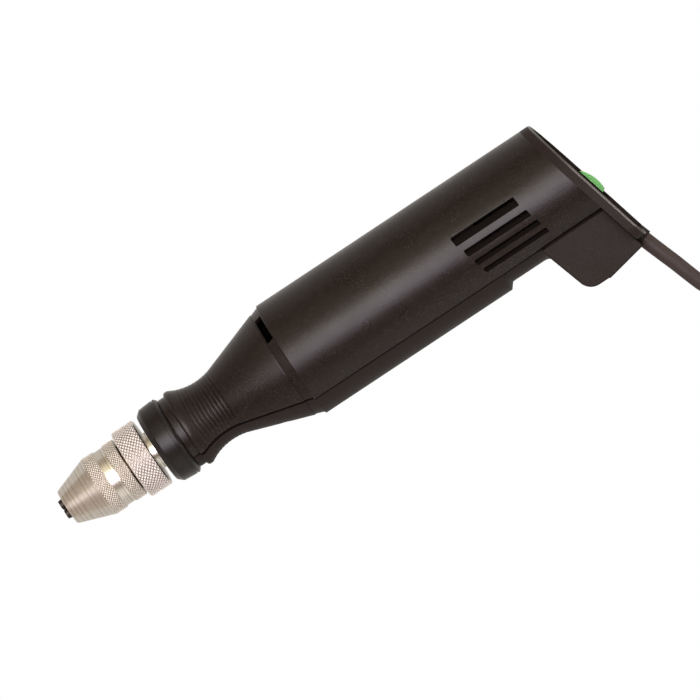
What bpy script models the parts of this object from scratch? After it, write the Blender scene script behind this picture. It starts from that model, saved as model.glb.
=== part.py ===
"""Hand-held mini drill with a keyless chuck, a rocker switch and a coiled lead.

The tool lies on its side: its spindle runs along X with the chuck at -X, the
rear foot of the housing points to -Y, and Z is up.  All sizes are in metres.
"""
import math

import bmesh
import bpy
from mathutils import Matrix, Vector

# ---------------------------------------------------------------- clearances
GAP = 0.0003            # between two pieces that touch on the real tool
SEAM = 0.0004           # open line between the two housing shells
WELD = 0.00001          # merge distance for turned profiles
MARGIN = 0.0100         # how far a cutter reaches past what it cuts

# ---------------------------------------------------------------- housing
BARREL_RADIUS = 0.0220
BARREL_WALL = 0.0020
BARREL_FRONT = -0.0163          # step where the barrel starts
BAND_LENGTH = 0.0031            # sloping band with the air windows
BAND_FRONT_RADIUS = BARREL_RADIUS - 0.0017
BAND_REAR_RADIUS = BARREL_RADIUS - 0.0006
CONE_RADIUS = BARREL_RADIUS - 0.0014    # widest end of the nose cone
BEARING_RADIUS = 0.0095
NOSE_BORE = BEARING_RADIUS + GAP
NOSE_WALL = 0.0021
WAIST_X = -0.0480
WAIST_RADIUS = NOSE_BORE + NOSE_WALL
WAIST_BEND = 0.0202             # radius of the concave grip curve
CONE_SLOPE = math.radians(19.3)
LIP_FRONT = -0.0599
LIP_LENGTH = 0.0019
LIP_RADIUS = WAIST_RADIUS + 0.00275
NECK_FRONT = -0.0625
NECK_RADIUS = WAIST_RADIUS + 0.0016
SPIGOT_LENGTH = 0.0081
SPIGOT_RADIUS = NOSE_BORE + NOSE_WALL
WAIST_POINTS = 9
PARTING = math.radians(47.0)    # tilt of the plane between the shells
RAKE = math.radians(14.5)       # slant of the rear end
RIM_X = 0.1022                  # rear rim on the spindle axis
END_THICK = 0.0038              # end frame, along X
END_DROP = 0.0311               # from the axis to the end frame's lower edge
END_CORNER = 0.0050
END_WALL = 0.0020
END_PROUD = 0.0001              # the end frame stands out from the barrel by this
END_OVERLAP = 0.0004
LEDGE_WIDTH = 0.0020
LEDGE_THICK = 0.0014
PLATE_THICK = 0.0012

# ---------------------------------------------------------------- foot and finger recess
RECESS_FRONT = 0.0613
RECESS_RADIUS = BARREL_RADIUS - 0.0022
RECESS_WALL = 0.0020
FOOT_HALF_WIDTH = 0.0151
FOOT_TOP = RECESS_RADIUS - 0.0032       # its top, inside the recess's wall
FOOT_FRONT_X = 0.0778           # front face, where it meets the recess
FOOT_LEAN = 0.31                # of the front face, along X for each metre down
FOOT_DROP = 0.03735             # sharp corner of the front face and the bottom
FOOT_REAR_DROP = 0.0340
FOOT_REACH = 0.0368             # lowest point of the rounded foot
FOOT_CORNER = 0.0055
FOOT_WALL = 0.0020
FOOT_OPENING = 0.0090           # half the width of the way up into the barrel

# ---------------------------------------------------------------- air slots
SLOT_COUNT = 4
SLOT_PITCH = 0.0040
SLOT_WIDTH = 0.0018
SLOT_LENGTH = 0.0259
SLOT_FIRST = 0.0061             # lowest slot, from the parting plane
SLOT_MIDDLE_X = 0.0670          # on the spindle axis; the row follows the rake
WINDOW_ANGLE = math.radians(32.0)

# ---------------------------------------------------------------- nose ring
RING_FRONT = -0.0717
RING_RADIUS = NECK_RADIUS + 0.00135
RING_FACE_RADIUS = RING_RADIUS - 0.00205
RING_CHAMFER = 0.0019
RING_GROOVE_X = -0.0648
RING_GROOVE_DEPTH = 0.0003

# ---------------------------------------------------------------- chuck
SLEEVE_FRONT = -0.1088
SLEEVE_REAR = -0.0831
SLEEVE_FACE_RADIUS = 0.0064
SLEEVE_NOSE_RADIUS = 0.0070
SLEEVE_NOSE_LENGTH = 0.0014
SLEEVE_CONE_REAR = -0.0955
SLEEVE_RADIUS = 0.0112
SLEEVE_BAND_LENGTH = 0.0044
SLEEVE_GROOVE_RADIUS = 0.01075
SLEEVE_MOUTH = 0.0050
SLEEVE_BORE = 0.0088
GRIP_FRONT = -0.0824
GRIP_REAR = -0.0737
GRIP_RADIUS = 0.01295
GRIP_EDGE = 0.0006
HUB_RADIUS = 0.0071
HUB_REAR = -0.0702
RING_MOUTH = HUB_RADIUS + 2 * GAP
MOUTH_REAR = -0.1070            # end of the sleeve's straight mouth
THROAT_REAR = -0.0940           # end of the cone inside the sleeve
CORE_FRONT = -0.1010
CORE_BORE = 0.0012
JAW_COUNT = 3
JAW_ANGLE = math.radians(13.0)
JAW_RADIUS = 0.0018
JAW_TIP_X = -0.1104
JAW_TIP_OFFSET = 0.0019
JAW_LENGTH = 0.0176
JAW_FLAT = 0.0005               # the jaws' bite, from the axis
JAW_TRAVEL = 0.0026

# ---------------------------------------------------------------- spindle line
SPINDLE_RADIUS = 0.0040
SPINDLE_FRONT = -0.0800
SPINDLE_REAR = -0.0260
BEARING_LENGTH = 0.0060
BEARING_FRONT_X = -0.0695
BEARING_REAR_X = -0.0520
COUPLING_RADIUS = 0.0065
COUPLING_FRONT = -0.0340
COUPLING_REAR = -0.0170
SHAFT_RADIUS = 0.0025
SHAFT_REAR = 0.0620

# ---------------------------------------------------------------- motor
FAN_FRONT = -0.0140
FAN_HUB_RADIUS = 0.0045
FAN_LENGTH = 0.0070
FAN_DISC = 0.0012
FAN_BLADES = 9
FAN_BLADE_THICK = 0.0010
CAN_ROOM = 0.0020               # between the can and the barrel's wall
CAN_RADIUS = BARREL_RADIUS - BARREL_WALL - CAN_ROOM
FAN_RADIUS = CAN_RADIUS - 0.0015
CAN_WALL = 0.0015
CAN_FRONT = -0.0040
CAN_REAR = 0.0500
CAN_FACE = 0.0015
CAN_RIB_X = (0.0040, 0.0440)
CAN_RIB_LENGTH = 0.0020
MAGNET_THICK = 0.0034
MAGNET_ARC = math.radians(130.0)
MAGNET_FRONT = 0.0060
MAGNET_LENGTH = 0.0340
CORE_GAP = 0.0005
CORE_X = 0.0080
CORE_LENGTH = 0.0300
CORE_SLOTS = 5
CORE_SLOT_WIDTH = 0.0022
CORE_SLOT_DEPTH = 0.0045
WINDING_RADIUS = 0.0105
WINDING_LENGTH = 0.0042
COMMUTATOR_RADIUS = 0.0050
COMMUTATOR_LENGTH = 0.0080
COMMUTATOR_X = CAN_REAR - 0.0002
BELL_LENGTH = 0.0120
BELL_RADIUS = CAN_RADIUS - 0.0005
BELL_BORE = 0.0065
BELL_WALL = 0.0040
BRUSH_X = CAN_REAR + 0.0037
BRUSH_WIDTH = 0.0034
BRUSH_LENGTH = 0.0058
BRUSH_HEIGHT = 0.0040
BRUSH_CAP = 0.0010
BUSH_RADIUS = 0.0050
BUSH_LENGTH = 0.0036

# ---------------------------------------------------------------- rocker switch
SWITCH_DROP = 0.0064            # its centre, from the axis towards the foot
SWITCH_LENGTH = 0.0156          # its bezel, from the axis side to the foot side
SWITCH_WIDTH = 0.0126
SWITCH_BEZEL = 0.0007
SWITCH_WALL = 0.0006            # round the rocker, at its ends
SWITCH_CHEEK = 0.0014           # beside the rocker
SWITCH_FLOOR = 0.0010
SWITCH_DEPTH = 0.0110
ROCKER_RADIUS = 0.0062          # its rounded ends, about the pivot
ROCKER_RISE = 0.0045            # from the pivot to its top
ROCKER_DISH = 0.0004
ROCKER_FALL = 0.0020
ROCKER_TILT = math.radians(6.0)
PIVOT_DEPTH = 0.0018            # below the rear plate's face
PIVOT_RADIUS = 0.0010
PIVOT_LENGTH = 0.0007

# ---------------------------------------------------------------- cover screws
SCREW_HEAD_RADIUS = 0.0024
SCREW_HEAD_LENGTH = 0.0016
SCREW_RADIUS = 0.0013
SCREW_LENGTH = 0.0100
SCREW_SEAT = 0.0055             # under the head, from the parting plane
SCREW_BOSS_RADIUS = 0.0040
SCREW_PLACES = (                # X, and distance from the axis in the parting plane
    (-0.0290, 0.0112),
    (-0.0290, -0.0112),
    (0.0880, -0.0140),
)

# ---------------------------------------------------------------- cord
CORD_DIAMETER = 0.0051
OUTLET_INSET = 0.0028           # its middle, in front of the rim
OUTLET_DROP = END_DROP - END_WALL       # its inner end
OUTLET_X = RIM_X + math.tan(RAKE) * OUTLET_DROP - OUTLET_INSET
OUTLET_LENGTH = 0.0036
OUTLET_WALL = 0.0008
OUTLET_TURN = math.radians(18.7)    # of the cord's start, towards the rear
RUN_POINTS = (                  # from the outlet to the coil, world X, Y, Z
    (0.1129, -0.0389, 0.0216),
    (0.1163, -0.0492, 0.0196),
    (0.1216, -0.0588, 0.0172),
    (0.1300, -0.0655, 0.0144),
    (0.1405, -0.0683, 0.0118),
    (0.1530, -0.0689, 0.0098),
    (0.1660, -0.0691, 0.0088),
    (0.1800, -0.0692, 0.0084),
)
TAIL_POINTS = (                 # from the coil to the plug
    (0.2249, 0.0007, 0.00265),
    (0.2184, 0.0072, 0.0028),
    (0.2113, 0.0120, 0.0041),
    (0.2068, 0.0134, 0.0049),
)
COIL_X = 0.2050
COIL_Y = -0.0314
COIL_RADIUS = 0.0375            # middle of the first turn, outermost
COIL_STEP = 0.0057              # from turn to turn, and from layer to layer
COIL_TURNS_IN = 4.0             # upper layer, towards the middle
COIL_TURNS_DOWN = 0.5
COIL_TURNS_OUT = 3.875          # lower layer
COIL_DIP = 0.0008               # the way down swings inward by this
TURN_POINTS = 24
CORD_POINT_STEP = 0.0110        # between points where the cord isn't coiled
FLOOR_LIFT = 0.0001             # under the cord where it lies down
PLUG_X = 0.2028
PLUG_Y = 0.0136
PLUG_RADIUS = 0.0050
PLUG_NECK_RADIUS = 0.0036
PLUG_LENGTH = 0.0270
PLUG_NECK_LENGTH = 0.0090
BARREL_TIP_RADIUS = 0.00275
BARREL_TIP_BORE = 0.00105
BARREL_TIP_LENGTH = 0.0095

AXIS_Y = (FOOT_REACH - BARREL_RADIUS) / 2
AXIS_Z = BARREL_RADIUS + END_PROUD
RING_STEPS = 48
SMALL_STEPS = 24

SLANT = math.tan(RAKE)
END_FRONT_X = RIM_X - END_THICK
PLATE_FACE_X = END_FRONT_X + LEDGE_THICK + GAP + PLATE_THICK
CORD_RADIUS = CORD_DIAMETER / 2
OUTLET_BORE = CORD_RADIUS + GAP
OUTLET_RADIUS = OUTLET_BORE + OUTLET_WALL


# ---------------------------------------------------------------- scene helpers
def clear_scene():
    for obj in list(bpy.data.objects):
        bpy.data.objects.remove(obj, do_unlink=True)
    for group in list(bpy.data.collections):
        bpy.data.collections.remove(group)


def collection(name):
    group = bpy.data.collections.new(name)
    bpy.context.scene.collection.children.link(group)
    return group


def material(name, colour, roughness, metallic=0.0):
    """Principled material with one plain colour."""
    mat = bpy.data.materials.new(name)
    mat.use_nodes = True
    shader = mat.node_tree.nodes["Principled BSDF"]
    shader.inputs["Base Color"].default_value = (*colour, 1.0)
    shader.inputs["Roughness"].default_value = roughness
    shader.inputs["Metallic"].default_value = metallic
    mat.diffuse_color = (*colour, 1.0)
    return mat


def at_axis(x, drop=0.0, side=0.0):
    """World point at x along the spindle, `drop` towards the foot, `side` up."""
    return Vector((x, AXIS_Y - drop, AXIS_Z + side))


def rim_at(x, drop):
    """X of the raked plane that crosses the spindle axis at x."""
    return x + SLANT * drop


# ---------------------------------------------------------------- shape helpers
def new_object(name, mesh, group, mat=None):
    obj = bpy.data.objects.new(name, mesh)
    group.objects.link(obj)
    if mat:
        mesh.materials.clear()
        mesh.materials.append(mat)
    if group is CUTTERS:
        obj.hide_render = True
        obj.display_type = "WIRE"
    return obj


def turned(name, profile, group, mat=None, steps=RING_STEPS):
    """Body of revolution about the spindle axis.

    The profile is a closed loop of (x, radius): the outside from rear to
    front, then the inside from front to rear.  Points on the axis close it.
    """
    mesh = bpy.data.meshes.new(name)
    closed = min(radius for _, radius in profile) > 0.0
    count = len(profile)
    last = count if closed else count - 1
    edges = [(i, (i + 1) % count) for i in range(last)]
    mesh.from_pydata([(radius, 0.0, x) for x, radius in profile], edges, [])
    obj = new_object(name, mesh, group, mat)
    obj.rotation_euler = (0.0, math.pi / 2, 0.0)
    obj.location = at_axis(0.0)
    screw = obj.modifiers.new("turn", "SCREW")
    screw.axis = "Z"
    screw.angle = 2 * math.pi
    screw.steps = screw.render_steps = steps
    screw.use_merge_vertices = True
    screw.merge_threshold = WELD
    screw.use_normal_calculate = False
    return obj


def ring(name, front, length, outer, inner, group, mat=None, steps=SMALL_STEPS):
    """Plain turned ring that starts at x = front."""
    rear = front + length
    profile = [(rear, outer), (front, outer), (front, inner), (rear, inner)]
    return turned(name, profile, group, mat, steps)


def rod(name, front, length, radius, group, mat=None, steps=SMALL_STEPS):
    """Plain turned rod that starts at x = front."""
    rear = front + length
    profile = [(rear, 0.0), (rear, radius), (front, radius), (front, 0.0)]
    return turned(name, profile, group, mat, steps)


def block(name, low, high, group, mat=None):
    """Box between two corners, given about the object's own origin."""
    mesh = bpy.data.meshes.new(name)
    bm = bmesh.new()
    bmesh.ops.create_cube(bm, size=1.0)
    size = Vector(high) - Vector(low)
    middle = (Vector(high) + Vector(low)) / 2
    bmesh.ops.scale(bm, vec=size, verts=bm.verts)
    bmesh.ops.translate(bm, vec=middle, verts=bm.verts)
    bm.to_mesh(mesh)
    bm.free()
    return new_object(name, mesh, group, mat)


def bar(name, radius, length, group, mat=None, steps=SMALL_STEPS):
    """Cylinder along local Z, centred on the object's origin."""
    mesh = bpy.data.meshes.new(name)
    bm = bmesh.new()
    bmesh.ops.create_cone(bm, cap_ends=True, segments=steps, radius1=radius,
                          radius2=radius, depth=length)
    bm.to_mesh(mesh)
    bm.free()
    return new_object(name, mesh, group, mat)


def round_corner(before, corner, after, radius, parts=5):
    """Points of the arc that rounds a corner of an outline."""
    here = Vector(corner)
    back = (Vector(before) - here).normalized()
    ahead = (Vector(after) - here).normalized()
    half = back.angle(ahead) / 2
    reach = radius / math.tan(half)
    centre = here + (back + ahead).normalized() * (radius / math.sin(half))
    start = here + back * reach - centre
    end = here + ahead * reach - centre
    sweep = math.pi - 2 * half
    points = []
    for i in range(parts + 1):
        share = i / parts
        a = math.sin((1 - share) * sweep) / math.sin(sweep)
        b = math.sin(share * sweep) / math.sin(sweep)
        points.append(centre + start * a + end * b)
    return [(p.x, p.y) for p in points]


def slab(name, outline, half_thick, group, mat=None, place=None):
    """Flat outline made solid, `half_thick` to both sides of its plane."""
    curve = bpy.data.curves.new(name, "CURVE")
    curve.dimensions = "2D"
    curve.fill_mode = "BOTH"
    curve.extrude = half_thick
    line = curve.splines.new("POLY")
    line.points.add(len(outline) - 1)
    for point, (u, v) in zip(line.points, outline):
        point.co = (u, v, 0.0, 1.0)
    line.use_cyclic_u = True
    flat = bpy.data.objects.new(name + "_outline", curve)
    bpy.context.scene.collection.objects.link(flat)
    bpy.context.view_layer.update()
    graph = bpy.context.evaluated_depsgraph_get()
    mesh = bpy.data.meshes.new_from_object(flat.evaluated_get(graph))
    bpy.data.objects.remove(flat, do_unlink=True)
    bm = bmesh.new()
    bm.from_mesh(mesh)
    bmesh.ops.remove_doubles(bm, verts=bm.verts, dist=WELD)
    if place:
        bmesh.ops.transform(bm, matrix=place, verts=bm.verts)
    bmesh.ops.recalc_face_normals(bm, faces=bm.faces)
    bm.to_mesh(mesh)
    bm.free()
    mesh.name = name
    return new_object(name, mesh, group, mat)


def change(obj, tool, operation):
    """Boolean of an object with a tool body that stays in the file."""
    step = obj.modifiers.new(tool.name, "BOOLEAN")
    step.operation = operation
    step.object = tool
    step.solver = "EXACT"
    return step


def cut(obj, tool):
    return change(obj, tool, "DIFFERENCE")


def join(obj, tool):
    return change(obj, tool, "UNION")


def keep(obj, tool):
    return change(obj, tool, "INTERSECT")


# ---------------------------------------------------------------- frames in the housing
def tilted(angle):
    """Axes about the spindle: X, across the parting plane, along it."""
    frame = Matrix.Translation(at_axis(0.0)).to_4x4()
    turn = Matrix(((1, 0, 0), (0, -math.cos(angle), -math.sin(angle)),
                   (0, -math.sin(angle), math.cos(angle)))).to_4x4()
    return frame @ turn


def slanted():
    """Shear that leans a plane of constant X to the rear end's rake."""
    lean = Matrix.Identity(4)
    lean[0][1] = -SLANT
    lean[0][3] = SLANT * AXIS_Y
    return lean


def shaped(obj, matrix):
    """Move the mesh itself, and leave the object at the world's origin."""
    bm = bmesh.new()
    bm.from_mesh(obj.data)
    bmesh.ops.transform(bm, matrix=matrix, verts=bm.verts)
    if matrix.to_3x3().determinant() < 0:
        bmesh.ops.reverse_faces(bm, faces=bm.faces)
    bm.to_mesh(obj.data)
    bm.free()
    return obj


def below_parting(name, offset, rear_x):
    """Everything on the foot's side of the parting plane, up to the end frame."""
    far = 2 * END_DROP
    front = SLEEVE_FRONT - far
    body = block(name, (front, offset, -far), (rear_x, far, far), CUTTERS)
    shaped(body, tilted(PARTING))
    return shaped(body, slanted())


def arch(inset, parts=24):
    """Outline of the rear end, as (world Y, world Z), drawn in by `inset`."""
    radius = BARREL_RADIUS + END_PROUD - inset
    bottom = -(END_DROP - inset)
    corner = max(END_CORNER - inset, 0.0010)
    outline = [(radius * math.cos(math.pi / 2 - math.pi * i / parts),
                radius * math.sin(math.pi / 2 - math.pi * i / parts))
               for i in range(parts + 1)]
    low_right = round_corner((0.0, -radius), (bottom, -radius), (bottom, 0.0), corner)
    low_left = round_corner((bottom, 0.0), (bottom, radius), (0.0, radius), corner)
    return outline + low_right + low_left


def arch_slab(name, inset, front_x, rear_x, group, mat=None):
    """Raked slice of the rear end's outline, between two planes on the axis."""
    half = (rear_x - front_x) / 2
    stand = Matrix(((0, 0, 1, (rear_x + front_x) / 2), (1, 0, 0, AXIS_Y),
                    (0, 1, 0, AXIS_Z), (0, 0, 0, 1)))
    return slab(name, arch(inset), half, group, mat, slanted() @ stand)


# ---------------------------------------------------------------- housing
def grip_radius(x):
    """Outside of the nose: a concave grip curve that runs into a cone."""
    bend_end = WAIST_X + WAIST_BEND * math.sin(CONE_SLOPE)
    if x < bend_end:
        return WAIST_RADIUS + WAIST_BEND - math.sqrt(WAIST_BEND**2 - (x - WAIST_X)**2)
    rise = WAIST_BEND * (1 - math.cos(CONE_SLOPE))
    return WAIST_RADIUS + rise + (x - bend_end) * math.tan(CONE_SLOPE)


def nose_outline():
    """Outside of nose and band, from the barrel's step to the spigot."""
    band_front = BARREL_FRONT - BAND_LENGTH
    points = [(BARREL_FRONT, BAND_REAR_RADIUS), (band_front, BAND_FRONT_RADIUS),
              (band_front, CONE_RADIUS)]
    bend_end = WAIST_X + WAIST_BEND * math.sin(CONE_SLOPE)
    points.append((bend_end, grip_radius(bend_end)))
    lip_rear = LIP_FRONT + LIP_LENGTH
    for i in range(1, WAIST_POINTS):
        x = bend_end + (lip_rear - bend_end) * i / WAIST_POINTS
        points.append((x, grip_radius(x)))
    points += [(lip_rear, grip_radius(lip_rear)),
               (LIP_FRONT + 0.3 * LIP_LENGTH, LIP_RADIUS),
               (LIP_FRONT, LIP_RADIUS - 0.3 * LIP_LENGTH),
               (LIP_FRONT, NECK_RADIUS), (NECK_FRONT, NECK_RADIUS),
               (NECK_FRONT, SPIGOT_RADIUS),
               (NECK_FRONT - SPIGOT_LENGTH, SPIGOT_RADIUS)]
    return points


def inside_outline(rear, rear_bore):
    """Inside of the housing, from the spigot's mouth to the rear."""
    bore = BARREL_RADIUS - BARREL_WALL
    seat_end = BEARING_REAR_X + BEARING_LENGTH + GAP
    cone_end = BARREL_FRONT - BAND_LENGTH
    cone_bore = BAND_FRONT_RADIUS - BARREL_WALL
    points = [(NECK_FRONT - SPIGOT_LENGTH, NOSE_BORE), (seat_end, NOSE_BORE),
              (cone_end, cone_bore), (BARREL_FRONT, bore)]
    for x in CAN_RIB_X:
        inner = CAN_RADIUS + GAP
        points += [(x, bore), (x, inner), (x + CAN_RIB_LENGTH, inner),
                   (x + CAN_RIB_LENGTH, bore)]
    step = RECESS_FRONT - BARREL_WALL
    if rear_bore < bore:
        points += [(step - (bore - rear_bore), bore), (step, rear_bore)]
    return points + [(rear, rear_bore)]


def screw_bar(name, place, radius, low, high, group, mat=None, steps=SMALL_STEPS):
    """Cylinder across the parting plane, at one of the cover screws' places."""
    x, along = place
    tool = bar(name, radius, high - low, group, mat, steps)
    stand = Matrix(((0, 1, 0, x), (0, 0, 1, (low + high) / 2), (1, 0, 0, along),
                    (0, 0, 0, 1)))
    return shaped(tool, tilted(PARTING) @ stand)


def housing_tube(name, rear_bore, mat):
    """Full round housing with its bosses, before it's split into shells."""
    far = RIM_X + SLANT * BARREL_RADIUS + END_THICK
    outside = [(far, 0.0), (far, BARREL_RADIUS), (BARREL_FRONT, BARREL_RADIUS)]
    outside += nose_outline()
    tube = turned(name, outside + [(outside[-1][0], 0.0)], PARTS, mat)
    inside = inside_outline(far + END_THICK, rear_bore)
    front = inside[0][0] - END_THICK
    hollow = [(front, 0.0), (front, NOSE_BORE)] + inside[1:]
    hollow = list(reversed(hollow + [(far + END_THICK, 0.0)]))
    core = turned(name + "_inside", hollow, CUTTERS)
    for i, place in enumerate(SCREW_PLACES):
        boss = screw_bar(f"{name}_boss_{i + 1}", place, SCREW_BOSS_RADIUS,
                         -BARREL_RADIUS, BARREL_RADIUS, CUTTERS)
        cut(core, boss)
    cut(tube, core)
    return tube


def slot_cutters(mirrored):
    """Air slots, evenly spaced up from the parting plane."""
    tools = []
    side = "far" if mirrored else "near"
    for i in range(SLOT_COUNT):
        height = SLOT_FIRST + i * SLOT_PITCH
        reach = math.sqrt(BARREL_RADIUS**2 - height**2)
        drop = reach * math.sin(PARTING) - height * math.cos(PARTING)
        middle = rim_at(SLOT_MIDDLE_X, drop)
        low = (middle - SLOT_LENGTH / 2, -height - SLOT_WIDTH / 2, reach - 4 * BARREL_WALL)
        high = (middle + SLOT_LENGTH / 2, -height + SLOT_WIDTH / 2, reach + 2 * BARREL_WALL)
        tool = block(f"slot_{side}_{i + 1}", low, high, CUTTERS)
        shaped(tool, tilted(PARTING))
        if mirrored:
            flip = Matrix.Translation((0, 0, AXIS_Z)) @ Matrix.Diagonal((1, 1, -1, 1))
            shaped(tool, flip @ Matrix.Translation((0, 0, -AXIS_Z)))
        tools.append(tool)
    return tools


def window_cutter():
    """One bar that opens the air window on the crown of each shell."""
    front = BARREL_FRONT - BAND_LENGTH
    half = BARREL_RADIUS * math.sin(WINDOW_ANGLE / 2)
    deep = 1.2 * BARREL_RADIUS
    tool = block("window_cut", (front + GAP, -deep, -half),
                 (BARREL_FRONT - GAP / 3, deep, half), CUTTERS)
    return shaped(tool, tilted(PARTING))


def outlet_frame():
    """Frame at the middle of the outlet's mouth, local Z along the cord."""
    ahead = Vector((math.sin(OUTLET_TURN), -math.cos(OUTLET_TURN), 0.0))
    turn = ahead.to_track_quat("Z", "X").to_matrix().to_4x4()
    mouth = at_axis(OUTLET_X, OUTLET_DROP) + ahead * OUTLET_LENGTH
    return Matrix.Translation(mouth) @ turn


def upper_housing(mat):
    """Shell with the crown, and the whole end frame that carries the switch."""
    shell = housing_tube("housing_upper", BARREL_RADIUS - BARREL_WALL, mat)
    past = arch_slab("past_barrel", -MARGIN, END_FRONT_X + END_OVERLAP,
                     RIM_X + BARREL_RADIUS, CUTTERS)
    cut(shell, past)
    cut(shell, below_parting("lower_side", -SEAM / 2, RIM_X))
    frame = arch_slab("end_frame", 0.0, END_FRONT_X, RIM_X, CUTTERS)
    ledge = END_WALL + LEDGE_WIDTH
    cut(frame, arch_slab("end_opening", ledge, END_FRONT_X - MARGIN,
                         RIM_X + MARGIN, CUTTERS))
    cut(frame, arch_slab("plate_seat", END_WALL, END_FRONT_X + LEDGE_THICK,
                         RIM_X + MARGIN, CUTTERS))
    boss = bar("outlet_boss", OUTLET_RADIUS, OUTLET_LENGTH, CUTTERS)
    shaped(boss, outlet_frame() @ Matrix.Translation((0, 0, -OUTLET_LENGTH / 2)))
    join(frame, boss)
    bore = bar("outlet_bore", OUTLET_BORE, 4 * OUTLET_LENGTH, CUTTERS)
    cut(frame, shaped(bore, outlet_frame()))
    join(shell, frame)
    cut(shell, window_cutter())
    for tool in slot_cutters(False):
        cut(shell, tool)
    for i, place in enumerate(SCREW_PLACES):
        cut(shell, screw_bar(f"screw_pilot_{i + 1}", place, SCREW_RADIUS + GAP,
                             SCREW_SEAT - SCREW_LENGTH - GAP, BARREL_WALL, CUTTERS))
    return shell


def foot_outline(inset, top):
    """Side view of the foot, as (world X, world Y), drawn in by `inset`."""
    def front_x(drop):
        return FOOT_FRONT_X + inset + FOOT_LEAN * (drop - RECESS_RADIUS)

    rear = END_FRONT_X - inset
    low = FOOT_DROP - inset
    low_rear = FOOT_REAR_DROP - inset
    corner = (front_x(low), AXIS_Y - low)
    back = (rim_at(rear, low_rear), AXIS_Y - low_rear)
    head = (front_x(top), AXIS_Y - top)
    tail = (rim_at(rear, top), AXIS_Y - top)
    radius = FOOT_CORNER - inset
    return [tail, head] + round_corner(head, corner, back, radius) + [back]


def lower_housing(mat):
    """Shell with the finger recess and the hollow foot."""
    shell = housing_tube("housing_lower", RECESS_RADIUS - RECESS_WALL, mat)
    far = RIM_X + 2 * BARREL_RADIUS
    core = rod("recess_core", RECESS_FRONT - MARGIN, far - RECESS_FRONT + 2 * MARGIN,
               RECESS_RADIUS, CUTTERS, steps=RING_STEPS)
    side = FOOT_HALF_WIDTH
    recess = block("recess", (RECESS_FRONT, AXIS_Y - 2 * BARREL_RADIUS, AXIS_Z - side),
                   (far, AXIS_Y - BARREL_RADIUS / 4, AXIS_Z + side), CUTTERS)
    cut(recess, core)
    cut(shell, recess)
    middle = Matrix.Translation((0, 0, AXIS_Z))
    join(shell, slab("foot", foot_outline(0.0, FOOT_TOP), side, CUTTERS, place=middle))
    keep(shell, below_parting("own_side", SEAM / 2, END_FRONT_X - SEAM))
    inside_top = FOOT_TOP + FOOT_WALL
    cut(shell, slab("foot_hollow", foot_outline(FOOT_WALL, inside_top),
                    side - FOOT_WALL, CUTTERS, place=middle))
    cut(shell, slab("foot_opening", foot_outline(2 * FOOT_WALL, BARREL_WALL),
                    FOOT_OPENING, CUTTERS, place=middle))
    cut(shell, bpy.data.objects["window_cut"])
    for tool in slot_cutters(True):
        cut(shell, tool)
    pocket = bar("outlet_pocket", OUTLET_RADIUS + SEAM, 4 * OUTLET_LENGTH, CUTTERS)
    cut(shell, shaped(pocket, outlet_frame()))
    for i, place in enumerate(SCREW_PLACES):
        cut(shell, screw_bar(f"screw_head_way_{i + 1}", place, SCREW_HEAD_RADIUS + GAP,
                             SCREW_SEAT, BARREL_RADIUS + BARREL_WALL, CUTTERS))
        cut(shell, screw_bar(f"screw_way_{i + 1}", place, SCREW_RADIUS + GAP,
                             -BARREL_WALL, SCREW_SEAT + BARREL_WALL, CUTTERS))
    return shell


def cover_screw(index, place, mat):
    head = SCREW_SEAT + GAP
    name = f"cover_screw_{index + 1}"
    screw = screw_bar(name, place, SCREW_HEAD_RADIUS, head, head + SCREW_HEAD_LENGTH,
                      PARTS, mat)
    shank = screw_bar(name + "_shank", place, SCREW_RADIUS, SCREW_SEAT - SCREW_LENGTH,
                      head + SCREW_HEAD_LENGTH / 2, CUTTERS)
    join(screw, shank)
    return screw


def nose_ring(mat):
    rear = NECK_FRONT - GAP
    inner_front = NECK_FRONT - SPIGOT_LENGTH - GAP
    bore = SPIGOT_RADIUS + GAP
    groove = RING_GROOVE_X + 0.0005
    low = RING_RADIUS - RING_GROOVE_DEPTH
    profile = [(rear, RING_RADIUS), (groove, RING_RADIUS), (groove, low),
               (RING_GROOVE_X, low), (RING_GROOVE_X, RING_RADIUS),
               (RING_FRONT + RING_CHAMFER, RING_RADIUS - 0.0005),
               (RING_FRONT, RING_FACE_RADIUS), (RING_FRONT, RING_MOUTH),
               (inner_front, RING_MOUTH), (inner_front, bore), (rear, bore)]
    return turned("nose_ring", profile, PARTS, mat)


# ---------------------------------------------------------------- rear plate and switch
def switch_frame():
    """Frame on the rear plate: X towards the foot, Z out of the plate."""
    low, out = math.sin(RAKE), math.cos(RAKE)
    x = rim_at(PLATE_FACE_X, SWITCH_DROP)
    return Matrix(((low, 0, out, x), (-out, 0, low, AXIS_Y - SWITCH_DROP),
                   (0, -1, 0, AXIS_Z), (0, 0, 0, 1)))


def switch_block(name, half_length, half_width, low, high, group, mat=None):
    tool = block(name, (-half_length, -half_width, low), (half_length, half_width, high),
                 group, mat)
    return shaped(tool, switch_frame())


def rear_plate(mat):
    front = END_FRONT_X + LEDGE_THICK + GAP
    plate = arch_slab("rear_plate", END_WALL + GAP, front, PLATE_FACE_X, PARTS, mat)
    half_length = SWITCH_LENGTH / 2 - SWITCH_BEZEL + GAP
    half_width = SWITCH_WIDTH / 2 - SWITCH_BEZEL + GAP
    reach = 2 * PLATE_THICK
    cut(plate, switch_block("switch_hole", half_length, half_width, -reach, reach, CUTTERS))
    notch = bar("outlet_notch", OUTLET_RADIUS + GAP, 4 * OUTLET_LENGTH, CUTTERS)
    cut(plate, shaped(notch, outlet_frame()))
    return plate


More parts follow.
